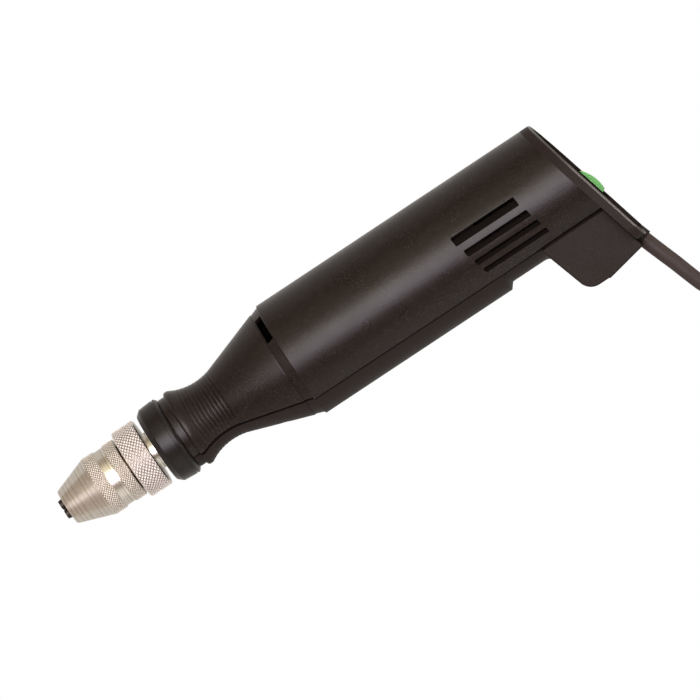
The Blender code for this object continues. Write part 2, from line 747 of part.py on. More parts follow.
def switch_body(mat):
    top = GAP + SWITCH_BEZEL
    half_length, half_width = SWITCH_LENGTH / 2, SWITCH_WIDTH / 2
    body = switch_block("switch_body", half_length, half_width, GAP, top, PARTS, mat)
    half_length -= SWITCH_BEZEL
    half_width -= SWITCH_BEZEL
    join(body, switch_block("switch_case", half_length, half_width, -SWITCH_DEPTH,
                            GAP + SWITCH_BEZEL / 2, CUTTERS))
    half_length -= SWITCH_WALL
    half_width -= SWITCH_CHEEK
    cut(body, switch_block("switch_room", half_length, half_width,
                           SWITCH_FLOOR - SWITCH_DEPTH, 2 * top, CUTTERS))
    reach = 2 * (half_width + PIVOT_LENGTH + GAP)
    holes = bar("pivot_holes", PIVOT_RADIUS + GAP, reach, CUTTERS)
    lay = Matrix.Translation((0, 0, -PIVOT_DEPTH)) @ Matrix.Rotation(math.pi / 2, 4, "X")
    cut(body, shaped(holes, switch_frame() @ lay))
    return body


def rocker_outline():
    """Side view of the rocker about its pivot: X along the plate, Y outward."""
    shoulder = ROCKER_RISE - ROCKER_FALL / 2
    reach = math.sqrt(ROCKER_RADIUS**2 - shoulder**2)
    top = []
    for i in range(9):
        share = 1 - i / 4
        top.append((share * reach, ROCKER_RISE - (ROCKER_RISE - shoulder) * share**2))
    side = ROCKER_RADIUS - ROCKER_DISH
    skirt = [(-side, 0.0), (-reach, -ROCKER_FALL), (reach, -ROCKER_FALL), (side, 0.0)]
    return top + skirt


def rocker(mat):
    half = SWITCH_WIDTH / 2 - SWITCH_BEZEL - SWITCH_CHEEK - GAP
    lay = Matrix.Rotation(math.pi / 2, 4, "X")
    piece = slab("rocker", rocker_outline(), half, PARTS, mat, lay)
    pin = bar("rocker_pin", PIVOT_RADIUS, 2 * (half + PIVOT_LENGTH), CUTTERS)
    pin_lay = Matrix.Rotation(math.pi / 2, 4, "X")
    shaped(pin, pin_lay)
    tilt = Matrix.Rotation(-ROCKER_TILT, 4, "Y")
    stand = switch_frame() @ Matrix.Translation((0, 0, -PIVOT_DEPTH)) @ tilt
    piece.matrix_world = stand
    pin.matrix_world = stand
    join(piece, pin)
    return piece


# ---------------------------------------------------------------- chuck
def chuck_sleeve(mat):
    groove_front = SLEEVE_CONE_REAR + SLEEVE_BAND_LENGTH
    groove_rear = SLEEVE_REAR - SLEEVE_BAND_LENGTH
    nose_rear = SLEEVE_FRONT + SLEEVE_NOSE_LENGTH
    profile = [(SLEEVE_REAR, SLEEVE_RADIUS), (groove_rear, SLEEVE_RADIUS),
               (groove_rear, SLEEVE_GROOVE_RADIUS), (groove_front, SLEEVE_GROOVE_RADIUS),
               (groove_front, SLEEVE_RADIUS), (SLEEVE_CONE_REAR, SLEEVE_RADIUS),
               (nose_rear, SLEEVE_NOSE_RADIUS), (SLEEVE_FRONT, SLEEVE_FACE_RADIUS),
               (SLEEVE_FRONT, SLEEVE_MOUTH), (MOUTH_REAR, SLEEVE_MOUTH),
               (THROAT_REAR, SLEEVE_BORE), (SLEEVE_REAR, SLEEVE_BORE)]
    return turned("chuck_sleeve", profile, PARTS, mat)


def jaw_frame(index):
    """Frame at a jaw's tip: X outward, Z back along the slanted jaw."""
    angle = math.pi / JAW_COUNT * (1 + 2 * index)
    out = Vector((0.0, -math.sin(angle), math.cos(angle)))
    across = Vector((0.0, -math.cos(angle), -math.sin(angle)))
    back = Vector((math.cos(JAW_ANGLE), 0, 0)) + out * math.sin(JAW_ANGLE)
    up = across.cross(back)
    up.normalize()
    tip = at_axis(JAW_TIP_X) + out * JAW_TIP_OFFSET
    frame = Matrix((up, back.cross(up), back)).transposed().to_4x4()
    return Matrix.Translation(tip) @ frame


def jaw_wedge(index):
    """Room of one jaw, between its neighbours, seen along the spindle."""
    angle = math.pi / JAW_COUNT * (1 + 2 * index)
    half = math.pi / JAW_COUNT
    far = 4 * BEARING_RADIUS
    shift = GAP / 2 / math.cos(half)
    low, high = JAW_FLAT, far
    outline = [(low, -(low * math.tan(half) - shift)),
               (high, -(high * math.tan(half) - shift)),
               (high, high * math.tan(half) - shift),
               (low, low * math.tan(half) - shift)]
    stand = Matrix(((0, 0, 1, JAW_TIP_X), (-math.sin(angle), math.cos(angle), 0, AXIS_Y),
                    (math.cos(angle), math.sin(angle), 0, AXIS_Z), (0, 0, 0, 1)))
    return slab(f"jaw_wedge_{index + 1}", outline, 2 * JAW_LENGTH, CUTTERS, place=stand)


def jaw(index, mat):
    piece = bar(f"jaw_{index + 1}", JAW_RADIUS, JAW_LENGTH, PARTS, mat)
    move = Matrix.Translation((0, 0, JAW_LENGTH / 2))
    shaped(piece, move)
    piece.matrix_world = jaw_frame(index)
    keep(piece, jaw_wedge(index))
    far = 2 * SLEEVE_RADIUS
    nose = block(f"jaw_nose_{index + 1}", (JAW_TIP_X - far, AXIS_Y - far, AXIS_Z - far),
                 (JAW_TIP_X, AXIS_Y + far, AXIS_Z + far), CUTTERS)
    cut(piece, nose)
    return piece


def chuck_body(mat):
    """Core that guides the jaws, grip ring and hub, in one piece."""
    throat = (SLEEVE_BORE - SLEEVE_MOUTH) / (THROAT_REAR - MOUTH_REAR)
    core_nose = SLEEVE_MOUTH + throat * (CORE_FRONT - MOUTH_REAR) - 1.2 * GAP
    core = SLEEVE_BORE - GAP
    edge = GRIP_RADIUS - GRIP_EDGE
    seat = SPINDLE_FRONT - GAP
    bore = SPINDLE_RADIUS + GAP
    profile = [(HUB_REAR, HUB_RADIUS), (GRIP_REAR, HUB_RADIUS), (GRIP_REAR, edge),
               (GRIP_REAR - GRIP_EDGE, GRIP_RADIUS), (GRIP_FRONT + GRIP_EDGE, GRIP_RADIUS),
               (GRIP_FRONT, edge), (GRIP_FRONT, core), (THROAT_REAR, core),
               (CORE_FRONT, core_nose), (CORE_FRONT, CORE_BORE), (seat, CORE_BORE),
               (seat, bore), (HUB_REAR, bore)]
    body = turned("chuck_body", profile, PARTS, mat)
    for index in range(JAW_COUNT):
        length = JAW_LENGTH + JAW_TRAVEL + 2 * GAP
        way = bar(f"jaw_way_{index + 1}", JAW_RADIUS + GAP, length, CUTTERS)
        shaped(way, jaw_frame(index) @ Matrix.Translation((0, 0, length / 2)))
        cut(body, way)
    return body


# ---------------------------------------------------------------- spindle line and motor
def fan(mat):
    bore = SHAFT_RADIUS + GAP
    rear = FAN_FRONT + FAN_LENGTH
    disc = rear - FAN_DISC
    profile = [(rear, FAN_RADIUS), (disc, FAN_RADIUS), (disc, FAN_HUB_RADIUS),
               (FAN_FRONT, FAN_HUB_RADIUS), (FAN_FRONT, bore), (rear, bore)]
    wheel = turned("fan", profile, PARTS, mat, SMALL_STEPS)
    half = FAN_BLADE_THICK / 2
    for i in range(FAN_BLADES):
        blade = block(f"fan_blade_{i + 1}", (FAN_FRONT + GAP, FAN_HUB_RADIUS - 2 * half, -half),
                      (disc + half, FAN_RADIUS - half, half), CUTTERS)
        turn = Matrix.Rotation(2 * math.pi * i / FAN_BLADES, 4, "X")
        shaped(blade, Matrix.Translation(at_axis(0.0)) @ turn)
        join(wheel, blade)
    return wheel


def armature_core(mat):
    radius = CAN_RADIUS - CAN_WALL - GAP - MAGNET_THICK - CORE_GAP
    core = ring("armature_core", CORE_X, CORE_LENGTH, radius, SHAFT_RADIUS + GAP, PARTS, mat)
    half = CORE_SLOT_WIDTH / 2
    margin = 0.0020
    for i in range(CORE_SLOTS):
        tool = block(f"core_slot_{i + 1}", (CORE_X - margin, radius - CORE_SLOT_DEPTH, -half),
                     (CORE_X + CORE_LENGTH + margin, radius + margin, half), CUTTERS)
        turn = Matrix.Rotation(2 * math.pi * i / CORE_SLOTS, 4, "X")
        cut(core, shaped(tool, Matrix.Translation(at_axis(0.0)) @ turn))
    return core


def motor_can(mat):
    seat = BUSH_RADIUS + GAP
    face = CAN_FRONT + CAN_FACE
    bore = CAN_RADIUS - CAN_WALL
    profile = [(CAN_REAR, CAN_RADIUS), (CAN_FRONT, CAN_RADIUS), (CAN_FRONT, seat),
               (face, seat), (face, bore), (CAN_REAR, bore)]
    return turned("motor_can", profile, PARTS, mat, SMALL_STEPS)


def magnet(index, mat):
    outer = CAN_RADIUS - CAN_WALL - GAP
    piece = ring(f"magnet_{index + 1}", MAGNET_FRONT, MAGNET_LENGTH, outer,
                 outer - MAGNET_THICK, PARTS, mat)
    side = 1 if index == 0 else -1
    reach = 2 * BEARING_RADIUS
    wide = reach * math.tan(MAGNET_ARC / 2)
    outline = [(0.0, 0.0), (side * reach, -wide), (side * reach, wide)]
    stand = Matrix(((0, 0, 1, MAGNET_FRONT), (0, 1, 0, AXIS_Y), (1, 0, 0, AXIS_Z),
                    (0, 0, 0, 1)))
    keep(piece, slab(f"magnet_sector_{index + 1}", outline, 2 * MAGNET_LENGTH, CUTTERS,
                     place=stand))
    return piece


def end_bell(mat):
    front = CAN_REAR + GAP
    rear = front + BELL_LENGTH
    wall = rear - BELL_WALL
    seat = BUSH_RADIUS + GAP
    profile = [(rear, BELL_RADIUS), (front, BELL_RADIUS), (front, BELL_BORE),
               (wall, BELL_BORE), (wall, seat), (rear, seat)]
    bell = turned("end_bell", profile, PARTS, mat, SMALL_STEPS)
    half = BRUSH_WIDTH / 2 + GAP
    high = BRUSH_HEIGHT / 2 + GAP
    way = block("brush_way", (BRUSH_X - half, AXIS_Y - CAN_RADIUS, AXIS_Z - high),
                (BRUSH_X + half, AXIS_Y + CAN_RADIUS, AXIS_Z + high), CUTTERS)
    return cut_with(bell, way)


def cut_with(obj, tool):
    cut(obj, tool)
    return obj


def brush(index, mat, cap_mat):
    """Carbon brush and the cap behind it, on one side of the commutator."""
    side = 1 if index == 0 else -1
    half, high = BRUSH_WIDTH / 2, BRUSH_HEIGHT / 2
    start = COMMUTATOR_RADIUS + GAP
    end = start + BRUSH_LENGTH
    cap_end = BELL_RADIUS - GAP
    cap_start = cap_end - BRUSH_CAP

    def lump(name, near, far, look):
        low, top = sorted((AXIS_Y + side * near, AXIS_Y + side * far))
        return block(name, (BRUSH_X - half, low, AXIS_Z - high),
                     (BRUSH_X + half, top, AXIS_Z + high), PARTS, look)

    lump(f"brush_{index + 1}", start, end, mat)
    lump(f"brush_cap_{index + 1}", cap_start, cap_end, cap_mat)


def spindle_line(steel, dark_steel, copper, black, bronze):
    """Everything that turns behind the chuck, and what it turns in."""
    rotating = []
    race = SPINDLE_RADIUS + GAP
    for name, front in (("front_bearing", BEARING_FRONT_X), ("spindle_bearing", BEARING_REAR_X)):
        ring(name, front, BEARING_LENGTH, BEARING_RADIUS, race, PARTS, dark_steel)
    rotating.append(rod("spindle", SPINDLE_FRONT, SPINDLE_REAR - SPINDLE_FRONT,
                        SPINDLE_RADIUS, PARTS, steel))
    shaft_front = SPINDLE_REAR + 2 * GAP
    step = SPINDLE_REAR + GAP
    narrow = SHAFT_RADIUS + GAP
    profile = [(COUPLING_REAR, COUPLING_RADIUS), (COUPLING_FRONT, COUPLING_RADIUS),
               (COUPLING_FRONT, race), (step, race), (step, narrow), (COUPLING_REAR, narrow)]
    rotating.append(turned("shaft_coupling", profile, PARTS, steel, SMALL_STEPS))
    rotating.append(rod("motor_shaft", shaft_front, SHAFT_REAR - shaft_front,
                        SHAFT_RADIUS, PARTS, steel))
    rotating.append(fan(black))
    rotating.append(armature_core(dark_steel))
    winding_front = CORE_X - GAP - WINDING_LENGTH
    winding_rear = CORE_X + CORE_LENGTH + GAP
    for name, front in (("winding_front", winding_front), ("winding_rear", winding_rear)):
        rotating.append(ring(name, front, WINDING_LENGTH, WINDING_RADIUS, narrow, PARTS,
                             copper))
    rotating.append(ring("commutator", COMMUTATOR_X, COMMUTATOR_LENGTH, COMMUTATOR_RADIUS,
                         narrow, PARTS, copper))
    bush_front = CAN_FRONT + CAN_FACE / 2 - BUSH_LENGTH / 2
    bush_rear = CAN_REAR + GAP + BELL_LENGTH - BELL_WALL / 2 - BUSH_LENGTH / 2
    for name, front in (("front_bush", bush_front), ("rear_bush", bush_rear)):
        ring(name, front, BUSH_LENGTH, BUSH_RADIUS, narrow, PARTS, bronze)
    return rotating


# ---------------------------------------------------------------- cord
def smooth_line(points, step):
    """Even points on a smooth curve through the given ones."""
    dense = []
    ends = [points[0] * 2 - points[1]] + points + [points[-1] * 2 - points[-2]]
    for i in range(1, len(ends) - 2):
        before, start, end, after = ends[i - 1:i + 3]
        for j in range(20):
            t = j / 20
            a = 2 * start + (end - before) * t
            b = (2 * before - 5 * start + 4 * end - after) * t**2
            c = (3 * start - before - 3 * end + after) * t**3
            dense.append((a + b + c) / 2)
    dense.append(points[-1])
    lengths = [0.0]
    for before, point in zip(dense, dense[1:]):
        lengths.append(lengths[-1] + (point - before).length)
    count = max(2, round(lengths[-1] / step))
    line, at = [], 0
    for i in range(count + 1):
        want = lengths[-1] * i / count
        while at < len(dense) - 2 and lengths[at + 1] < want:
            at += 1
        share = (want - lengths[at]) / (lengths[at + 1] - lengths[at])
        line.append(dense[at].lerp(dense[at + 1], min(1.0, share)))
    return line


def coil_place(turn):
    """Point of the coil: inward on top, down, and outward on the floor."""
    low = CORD_RADIUS + FLOOR_LIFT
    down = min(max((turn - COIL_TURNS_IN) / COIL_TURNS_DOWN, 0.0), 1.0)
    out = max(turn - COIL_TURNS_IN - COIL_TURNS_DOWN, 0.0)
    radius = COIL_RADIUS + COIL_STEP * (out - min(turn, COIL_TURNS_IN))
    radius -= COIL_DIP * math.sin(math.pi * down)
    angle = 2 * math.pi * turn - math.pi / 2
    return Vector((COIL_X + radius * math.cos(angle), COIL_Y + radius * math.sin(angle),
                   low + COIL_STEP * (1 - down)))


def coil_line():
    """Two flat layers of turns, with a straight cord's width at each end."""
    turns = COIL_TURNS_IN + COIL_TURNS_DOWN + COIL_TURNS_OUT
    count = round(turns * TURN_POINTS)
    line = [coil_place(turns * i / count) for i in range(count + 1)]
    little = 1e-3
    ahead = (coil_place(little) - line[0]).normalized()
    onward = (line[-1] - coil_place(turns - little)).normalized()
    return [line[0] - ahead * CORD_DIAMETER] + line + [line[-1] + onward * CORD_DIAMETER]


def line_length(line):
    return sum((b - a).length for a, b in zip(line, line[1:]))


def least_gap(line, diameter):
    """Least space between turns, from points spaced well apart along the tube."""
    places = [0.0]
    for a, b in zip(line, line[1:]):
        places.append(places[-1] + (b - a).length)
    least = 1.0
    for i, a in enumerate(line[:-1]):
        for j in range(i + 1, len(line) - 1):
            if places[j] - places[i] < 6 * diameter:
                continue
            for share in (0.0, 0.25, 0.5, 0.75):
                near = line[j].lerp(line[j + 1], share)
                least = min(least, (a - near).length, (a.lerp(line[i + 1], 0.5) - near).length)
    return least - diameter


def shortened(line, start, end):
    """Take a little off the ends of a line."""
    line = [point.copy() for point in line]
    line[0] += (line[1] - line[0]).normalized() * start
    line[-1] += (line[-2] - line[-1]).normalized() * end
    return line


def tube(name, line, resolution, mat):
    """Round cord along a line of points, with flat ends."""
    curve = bpy.data.curves.new(name + "_line", "CURVE")
    curve.dimensions = "3D"
    curve.bevel_depth = CORD_RADIUS
    curve.bevel_resolution = resolution
    curve.use_fill_caps = True
    path = curve.splines.new("POLY")
    path.points.add(len(line) - 1)
    for point, place in zip(path.points, line):
        point.co = (*place, 1.0)
    source = bpy.data.objects.new(name + "_line", curve)
    bpy.context.scene.collection.objects.link(source)
    bpy.context.view_layer.update()
    graph = bpy.context.evaluated_depsgraph_get()
    mesh = bpy.data.meshes.new_from_object(source.evaluated_get(graph))
    bpy.data.objects.remove(source, do_unlink=True)
    bm = bmesh.new()
    bm.from_mesh(mesh)
    bmesh.ops.remove_doubles(bm, verts=bm.verts, dist=WELD)
    bmesh.ops.recalc_face_normals(bm, faces=bm.faces)
    bm.to_mesh(mesh)
    bm.free()
    mesh.name = name
    return new_object(name, mesh, PARTS, mat)


def cord(mat):
    """Lead from the outlet to the plug, in three lengths that meet face to face."""
    ahead = Vector((math.sin(OUTLET_TURN), -math.cos(OUTLET_TURN), 0.0))
    start = at_axis(OUTLET_X, OUTLET_DROP) + ahead * GAP
    mouth = start + ahead * (OUTLET_LENGTH + CORD_DIAMETER)
    coil = coil_line()
    run = smooth_line([start, mouth] + [Vector(p) for p in RUN_POINTS] + [coil[0]],
                      CORD_POINT_STEP)
    plug = Vector((PLUG_X, PLUG_Y, PLUG_RADIUS + FLOOR_LIFT))
    tail = smooth_line([coil[-1]] + [Vector(p) for p in TAIL_POINTS] + [plug],
                       CORD_POINT_STEP / 2)
    half = GAP / 2
    tube("cord_run", shortened(run, 0.0, half), 2, mat)
    tube("cord_coil", shortened(coil, half, half), 1, mat)
    tube("cord_tail", shortened(tail, half, 0.0), 2, mat)
    whole = line_length(run) + line_length(coil) + line_length(tail)
    print(f"cord length {whole:.4f} m; run {line_length(run):.4f}, "
          f"coil {line_length(coil):.4f}, tail {line_length(tail):.4f}")
    print(f"least gap of the coil to itself {least_gap(coil, CORD_DIAMETER) * 1000:.2f} mm")


def lying_turned(name, profile, mat):
    """Body of revolution that points to -X on the plug's own axis."""
    piece = turned(name, profile, PARTS, mat, steps=SMALL_STEPS)
    piece.location = (PLUG_X, PLUG_Y, PLUG_RADIUS + FLOOR_LIFT)
    return piece


def plug(black, bright):
    """Coaxial low-voltage plug: moulded body, and its metal barrel."""
    rear = -GAP
    neck = rear - PLUG_NECK_LENGTH
    front = rear - PLUG_LENGTH
    edge = 0.0008
    body = [(rear, 0.0), (rear, PLUG_NECK_RADIUS), (neck, PLUG_NECK_RADIUS + edge),
            (neck - 2 * edge, PLUG_RADIUS), (front + edge, PLUG_RADIUS),
            (front, PLUG_RADIUS - edge), (front, 0.0)]
    lying_turned("cord_plug", body, black)
    root = front - GAP
    tip = root - BARREL_TIP_LENGTH
    depth = 0.0015
    barrel = [(root, 0.0), (root, BARREL_TIP_RADIUS), (tip, BARREL_TIP_RADIUS),
              (tip, BARREL_TIP_BORE), (root - depth, BARREL_TIP_BORE), (root - depth, 0.0)]
    lying_turned("plug_barrel", barrel, bright)


# ---------------------------------------------------------------- joints
def pivot(name, place, children):
    """Empty on a joint's axis that carries the pieces that move with it."""
    empty = bpy.data.objects.new(name, None)
    empty.location = place
    PARTS.objects.link(empty)
    bpy.context.view_layer.update()
    for child in children:
        world = child.matrix_world.copy()
        child.parent = empty
        child.matrix_parent_inverse = empty.matrix_world.inverted()
        child.matrix_world = world


def build():
    brown = material("housing_plastic", (0.040, 0.030, 0.026), 0.48)
    black = material("black_plastic", (0.012, 0.012, 0.012), 0.42)
    chrome = material("bright_steel", (0.62, 0.60, 0.57), 0.20, 1.0)
    steel = material("spindle_steel", (0.50, 0.50, 0.50), 0.35, 1.0)
    dark_steel = material("dark_steel", (0.14, 0.14, 0.14), 0.45, 1.0)
    copper = material("copper", (0.62, 0.28, 0.14), 0.35, 1.0)
    bronze = material("bronze", (0.45, 0.30, 0.13), 0.45, 1.0)
    ferrite = material("ferrite", (0.055, 0.055, 0.060), 0.70)
    green = material("green_plastic", (0.13, 0.42, 0.14), 0.35)
    carbon = material("carbon", (0.03, 0.03, 0.03), 0.60)
    sheath = material("cord_sheath", (0.060, 0.045, 0.040), 0.50)
    upper_housing(brown)
    lower_housing(brown)
    nose_ring(black)
    for index, place in enumerate(SCREW_PLACES):
        cover_screw(index, place, dark_steel)
    rear_plate(black)
    switch_body(black)
    rocker_piece = rocker(green)
    rotating = [chuck_body(chrome)] + spindle_line(steel, dark_steel, copper, black, bronze)
    sleeve = chuck_sleeve(chrome)
    jaws = [jaw(index, dark_steel) for index in range(JAW_COUNT)]
    motor_can(steel)
    end_bell(black)
    for index in range(2):
        magnet(index, ferrite)
        brush(index, carbon, bronze)
    cord(sheath)
    plug(black, chrome)
    pivot("spindle_turn", at_axis(0.0), rotating + [sleeve] + jaws)
    print(f"rocker pivot {tuple(round(v, 6) for v in rocker_piece.matrix_world.translation)}")
    for piece in jaws:
        frame = piece.matrix_world
        print(f"{piece.name} from {tuple(round(v, 6) for v in frame.translation)} "
              f"along {tuple(round(v, 6) for v in frame.col[2][:3])}")


clear_scene()
PARTS = collection("mini_drill")
CUTTERS = collection("cutters")
build()
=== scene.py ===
"""Studio picture of a hand-held mini drill with a keyless chuck and a lead.

The drill lies on its side on a white floor and is seen from almost straight above.
Sizes are metres in the CAD's frame: the spindle runs along X with the chuck
at -X, the foot of the housing points to -Y, and Z is up.
"""

from math import cos, pi, radians, sin, sqrt, tan

import bmesh
import bpy
from mathutils import Matrix, Vector


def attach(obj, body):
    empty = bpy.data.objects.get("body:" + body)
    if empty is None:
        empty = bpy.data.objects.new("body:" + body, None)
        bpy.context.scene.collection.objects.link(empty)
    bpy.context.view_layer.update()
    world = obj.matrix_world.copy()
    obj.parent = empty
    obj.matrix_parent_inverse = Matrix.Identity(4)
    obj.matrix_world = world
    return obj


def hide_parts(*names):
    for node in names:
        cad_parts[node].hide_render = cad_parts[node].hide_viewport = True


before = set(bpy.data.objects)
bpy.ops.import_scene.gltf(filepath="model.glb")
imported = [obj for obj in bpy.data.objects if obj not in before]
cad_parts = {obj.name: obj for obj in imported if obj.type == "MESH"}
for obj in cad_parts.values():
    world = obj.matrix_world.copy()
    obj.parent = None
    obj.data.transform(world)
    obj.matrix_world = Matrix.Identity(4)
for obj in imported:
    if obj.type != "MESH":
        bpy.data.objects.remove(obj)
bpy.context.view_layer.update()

# ---- view
PHOTO_SIZE = 700
TOOL_TURN = radians(33.5)      # of the spindle in the picture
VIEW_LEAN = radians(2.8)       # of the camera, towards the rear end
VIEW_WIDTH = 0.2410
VIEW_DISTANCE = 6.0
VIEW_AIM = (0.00245, -0.00105, 0.0220)
VIEW_CLIP = (0.05, 20.0)
SENSOR_WIDTH = 36.0

# ---- frame and housing
AXIS_Y = 0.0074
AXIS_Z = 0.0221
GAP = 0.0003
SEAM = 0.0004
SEAM_UP = 0.00050            # drawn back from the parting plane on the upper shell
SEAM_WIDE = 0.00115
BARREL_RADIUS = 0.0220
BARREL_WALL = 0.0020
BARREL_FRONT = -0.0163
BAND_LENGTH = 0.0031
BAND_FRONT_RADIUS = 0.0203
BAND_REAR_RADIUS = 0.0214
CONE_RADIUS = 0.0206
WAIST_X = -0.0480
WAIST_RADIUS = 0.0119
WAIST_BEND = 0.0202
CONE_SLOPE = radians(19.3)
LIP_FRONT = -0.0599
LIP_LENGTH = 0.0019
LIP_RADIUS = 0.01465
NECK_FRONT = -0.0625
NECK_RADIUS = 0.0135
SPIGOT_LENGTH = 0.0081
SPIGOT_FRONT = NECK_FRONT - SPIGOT_LENGTH
SPIGOT_RADIUS = 0.0119
NOSE_BORE = 0.0098
SEAT_END = -0.0457
RIB_COUNT = 10
RIB_PITCH = 0.0014
RIB_DEPTH = 0.00040
RIB_REST = 0.2               # share of the depth left outside the grip's flank
RIB_FRONT = -0.0562
RIB_REAR = RIB_FRONT + RIB_COUNT * RIB_PITCH
PARTING = radians(47.0)
RAKE = radians(14.5)
SLANT = tan(RAKE)
RIM_X = 0.1022
END_THICK = 0.0038
END_FRONT_X = RIM_X - END_THICK
END_DROP = 0.0311
END_CORNER = 0.0050
END_WALL = 0.0020
END_PROUD = 0.00002
END_OVERLAP = 0.0004
LEDGE_WIDTH = 0.0020
LEDGE_THICK = 0.0014
PLATE_THICK = 0.0012
PLATE_FACE_X = END_FRONT_X + LEDGE_THICK + GAP + PLATE_THICK
FOOT_HALF_WIDTH = 0.0151
FOOT_TOP = 0.0166
FOOT_FRONT_X = 0.0778
FOOT_LEAN = 0.31
FOOT_DROP = 0.03735
FOOT_REAR_DROP = 0.0340
FOOT_CORNER = 0.0055
FOOT_WALL = 0.0020
FOOT_OPENING = 0.0090
FOOT_STEP_X = 0.0910
FOOT_STEP_DROP = 0.0004
FOOT_STEP_RISE = 0.00025
RECESS_FRONT = 0.0613
RECESS_RADIUS = 0.0198
RECESS_WALL = 0.0020
RECESS_SLOPE = 0.0022
RECESS_FILLET = 0.0030
SLOT_COUNT = 4
SLOT_PITCH = 0.00392
SLOT_WIDTH = 0.0021
SLOT_LENGTH = 0.0259
SLOT_FIRST = 0.0060
SLOT_LEAN = 0.20
SLOT_MIDDLE_X = 0.0670
SLOT_CORNER = 0.0004
WINDOW_ANGLE = radians(32.0)
SCREW_PLACES = ((-0.0290, 0.0112), (-0.0290, -0.0112), (0.0880, -0.0140))
SCREW_HEAD_RADIUS = 0.0024
SCREW_HEAD_LENGTH = 0.0016
SCREW_SEAT = 0.0055
SCREW_RADIUS = 0.0013
SCREW_LENGTH = 0.0100
SCREW_BOSS_RADIUS = 0.0040
CAN_RADIUS = 0.0180
CAN_RIB_X = (0.0040, 0.0440)
CAN_RIB_LENGTH = 0.0020

# ---- nose ring and chuck
RING_FRONT = -0.0717
RING_RADIUS = 0.01485
RING_FACE_RADIUS = 0.0128
RING_CHAMFER = 0.0019
RING_GROOVE_X = -0.0648
RING_GROOVE_DEPTH = 0.0003
RING_MOUTH = 0.0077
SLEEVE_FRONT = -0.1088
SLEEVE_REAR = -0.0831
SLEEVE_FACE_RADIUS = 0.0064
SLEEVE_NOSE_RADIUS = 0.0070
SLEEVE_NOSE_LENGTH = 0.0014
SLEEVE_CONE_REAR = -0.0955
SLEEVE_RADIUS = 0.0112
SLEEVE_BAND_LENGTH = 0.0044
SLEEVE_GROOVE_RADIUS = 0.01075
SLEEVE_MOUTH = 0.0050
SLEEVE_BORE = 0.0088
GRIP_FRONT = -0.0824
GRIP_REAR = -0.0737
GRIP_RADIUS = 0.01295
GRIP_EDGE = 0.0006
HUB_RADIUS = 0.0071
HUB_REAR = -0.0702
MOUTH_REAR = -0.1070
THROAT_REAR = -0.0940
CORE_FRONT = -0.1010
CORE_BORE = 0.0012
JAW_COUNT = 3
JAW_ANGLE = radians(13.0)
JAW_RADIUS = 0.0018
JAW_TIP_X = -0.1104
JAW_TIP_OFFSET = 0.0019
JAW_LENGTH = 0.0176
JAW_TRAVEL = 0.0026
SPINDLE_FRONT = -0.0800
SPINDLE_RADIUS = 0.0040
SLEEVE_KNURL = 0.00026
GRIP_KNURL = 0.00036
KNURL_SAMPLES = 8
HUB_GROOVE = 0.0005
HUB_GROOVES = (-0.0724, -0.0726, -0.0731)       # rear and front edge of one, rear of the next

# ---- switch
SWITCH_DROP = 0.0064
SWITCH_LENGTH = 0.0156
SWITCH_WIDTH = 0.0126
SWITCH_BEZEL = 0.0007
SWITCH_WALL = 0.0006
SWITCH_CHEEK = 0.0014
SWITCH_FLOOR = 0.0010
SWITCH_DEPTH = 0.0110
ROCKER_RADIUS = 0.0062
ROCKER_RISE = 0.0045
ROCKER_FALL = 0.0020
ROCKER_DISH = 0.0004
ROCKER_TILT = radians(6.0)
PIVOT_DEPTH = 0.0018
PIVOT_RADIUS = 0.0010
PIVOT_LENGTH = 0.0007
MARK_HALF = (0.00022, 0.0015)
MARK_PLACE = 0.0014
MARK_SINK = 0.00008

# ---- cord
CORD_DIAMETER = 0.0051
CORD_RADIUS = CORD_DIAMETER / 2
OUTLET_DROP = END_DROP - END_WALL
OUTLET_X = RIM_X + SLANT * OUTLET_DROP - 0.0028
OUTLET_LENGTH = 0.0036
OUTLET_WALL = 0.0005
OUTLET_TURN = radians(18.7)
OUTLET_BORE = CORD_RADIUS + GAP
OUTLET_RADIUS = OUTLET_BORE + OUTLET_WALL
RUN_POINTS = (                  # from the outlet down to the coil
    (0.1129, -0.0389, 0.0216), (0.1163, -0.0492, 0.0196), (0.1216, -0.0588, 0.0172),
    (0.1300, -0.0655, 0.0144), (0.1405, -0.0683, 0.0118), (0.1530, -0.0689, 0.0098),
    (0.1660, -0.0691, 0.0088), (0.1800, -0.0692, 0.0084),
)
TAIL_POINTS = (                 # from the coil to the plug
    (0.2249, 0.0007, 0.00265), (0.2184, 0.0072, 0.0028), (0.2113, 0.0120, 0.0041),
    (0.2068, 0.0134, 0.0049),
)
COIL_X = 0.2050
COIL_Y = -0.0314
COIL_RADIUS = 0.0375
COIL_STEP = 0.0057
COIL_TURNS_IN = 4.0
COIL_TURNS_DOWN = 0.5
COIL_TURNS_OUT = 3.875
COIL_DIP = 0.0008
TURN_POINTS = 36
CORD_POINT_STEP = 0.0055
RELIEF_LENGTH = 0.045           # over which the sheath narrows from the outlet
RELIEF_SHARE = 0.09
FLOOR_LIFT = 0.0001
PLUG_X = 0.2028
PLUG_Y = 0.0136
PLUG_RADIUS = 0.0050
PLUG_NECK_RADIUS = 0.0036
PLUG_LENGTH = 0.0270
PLUG_NECK_LENGTH = 0.0090
STRAP_THICK = 0.0005
STRAP_CORNER = 0.0024
STRAP_HALF_WIDTH = 0.0045
STRAP_TURN = radians(20.0)

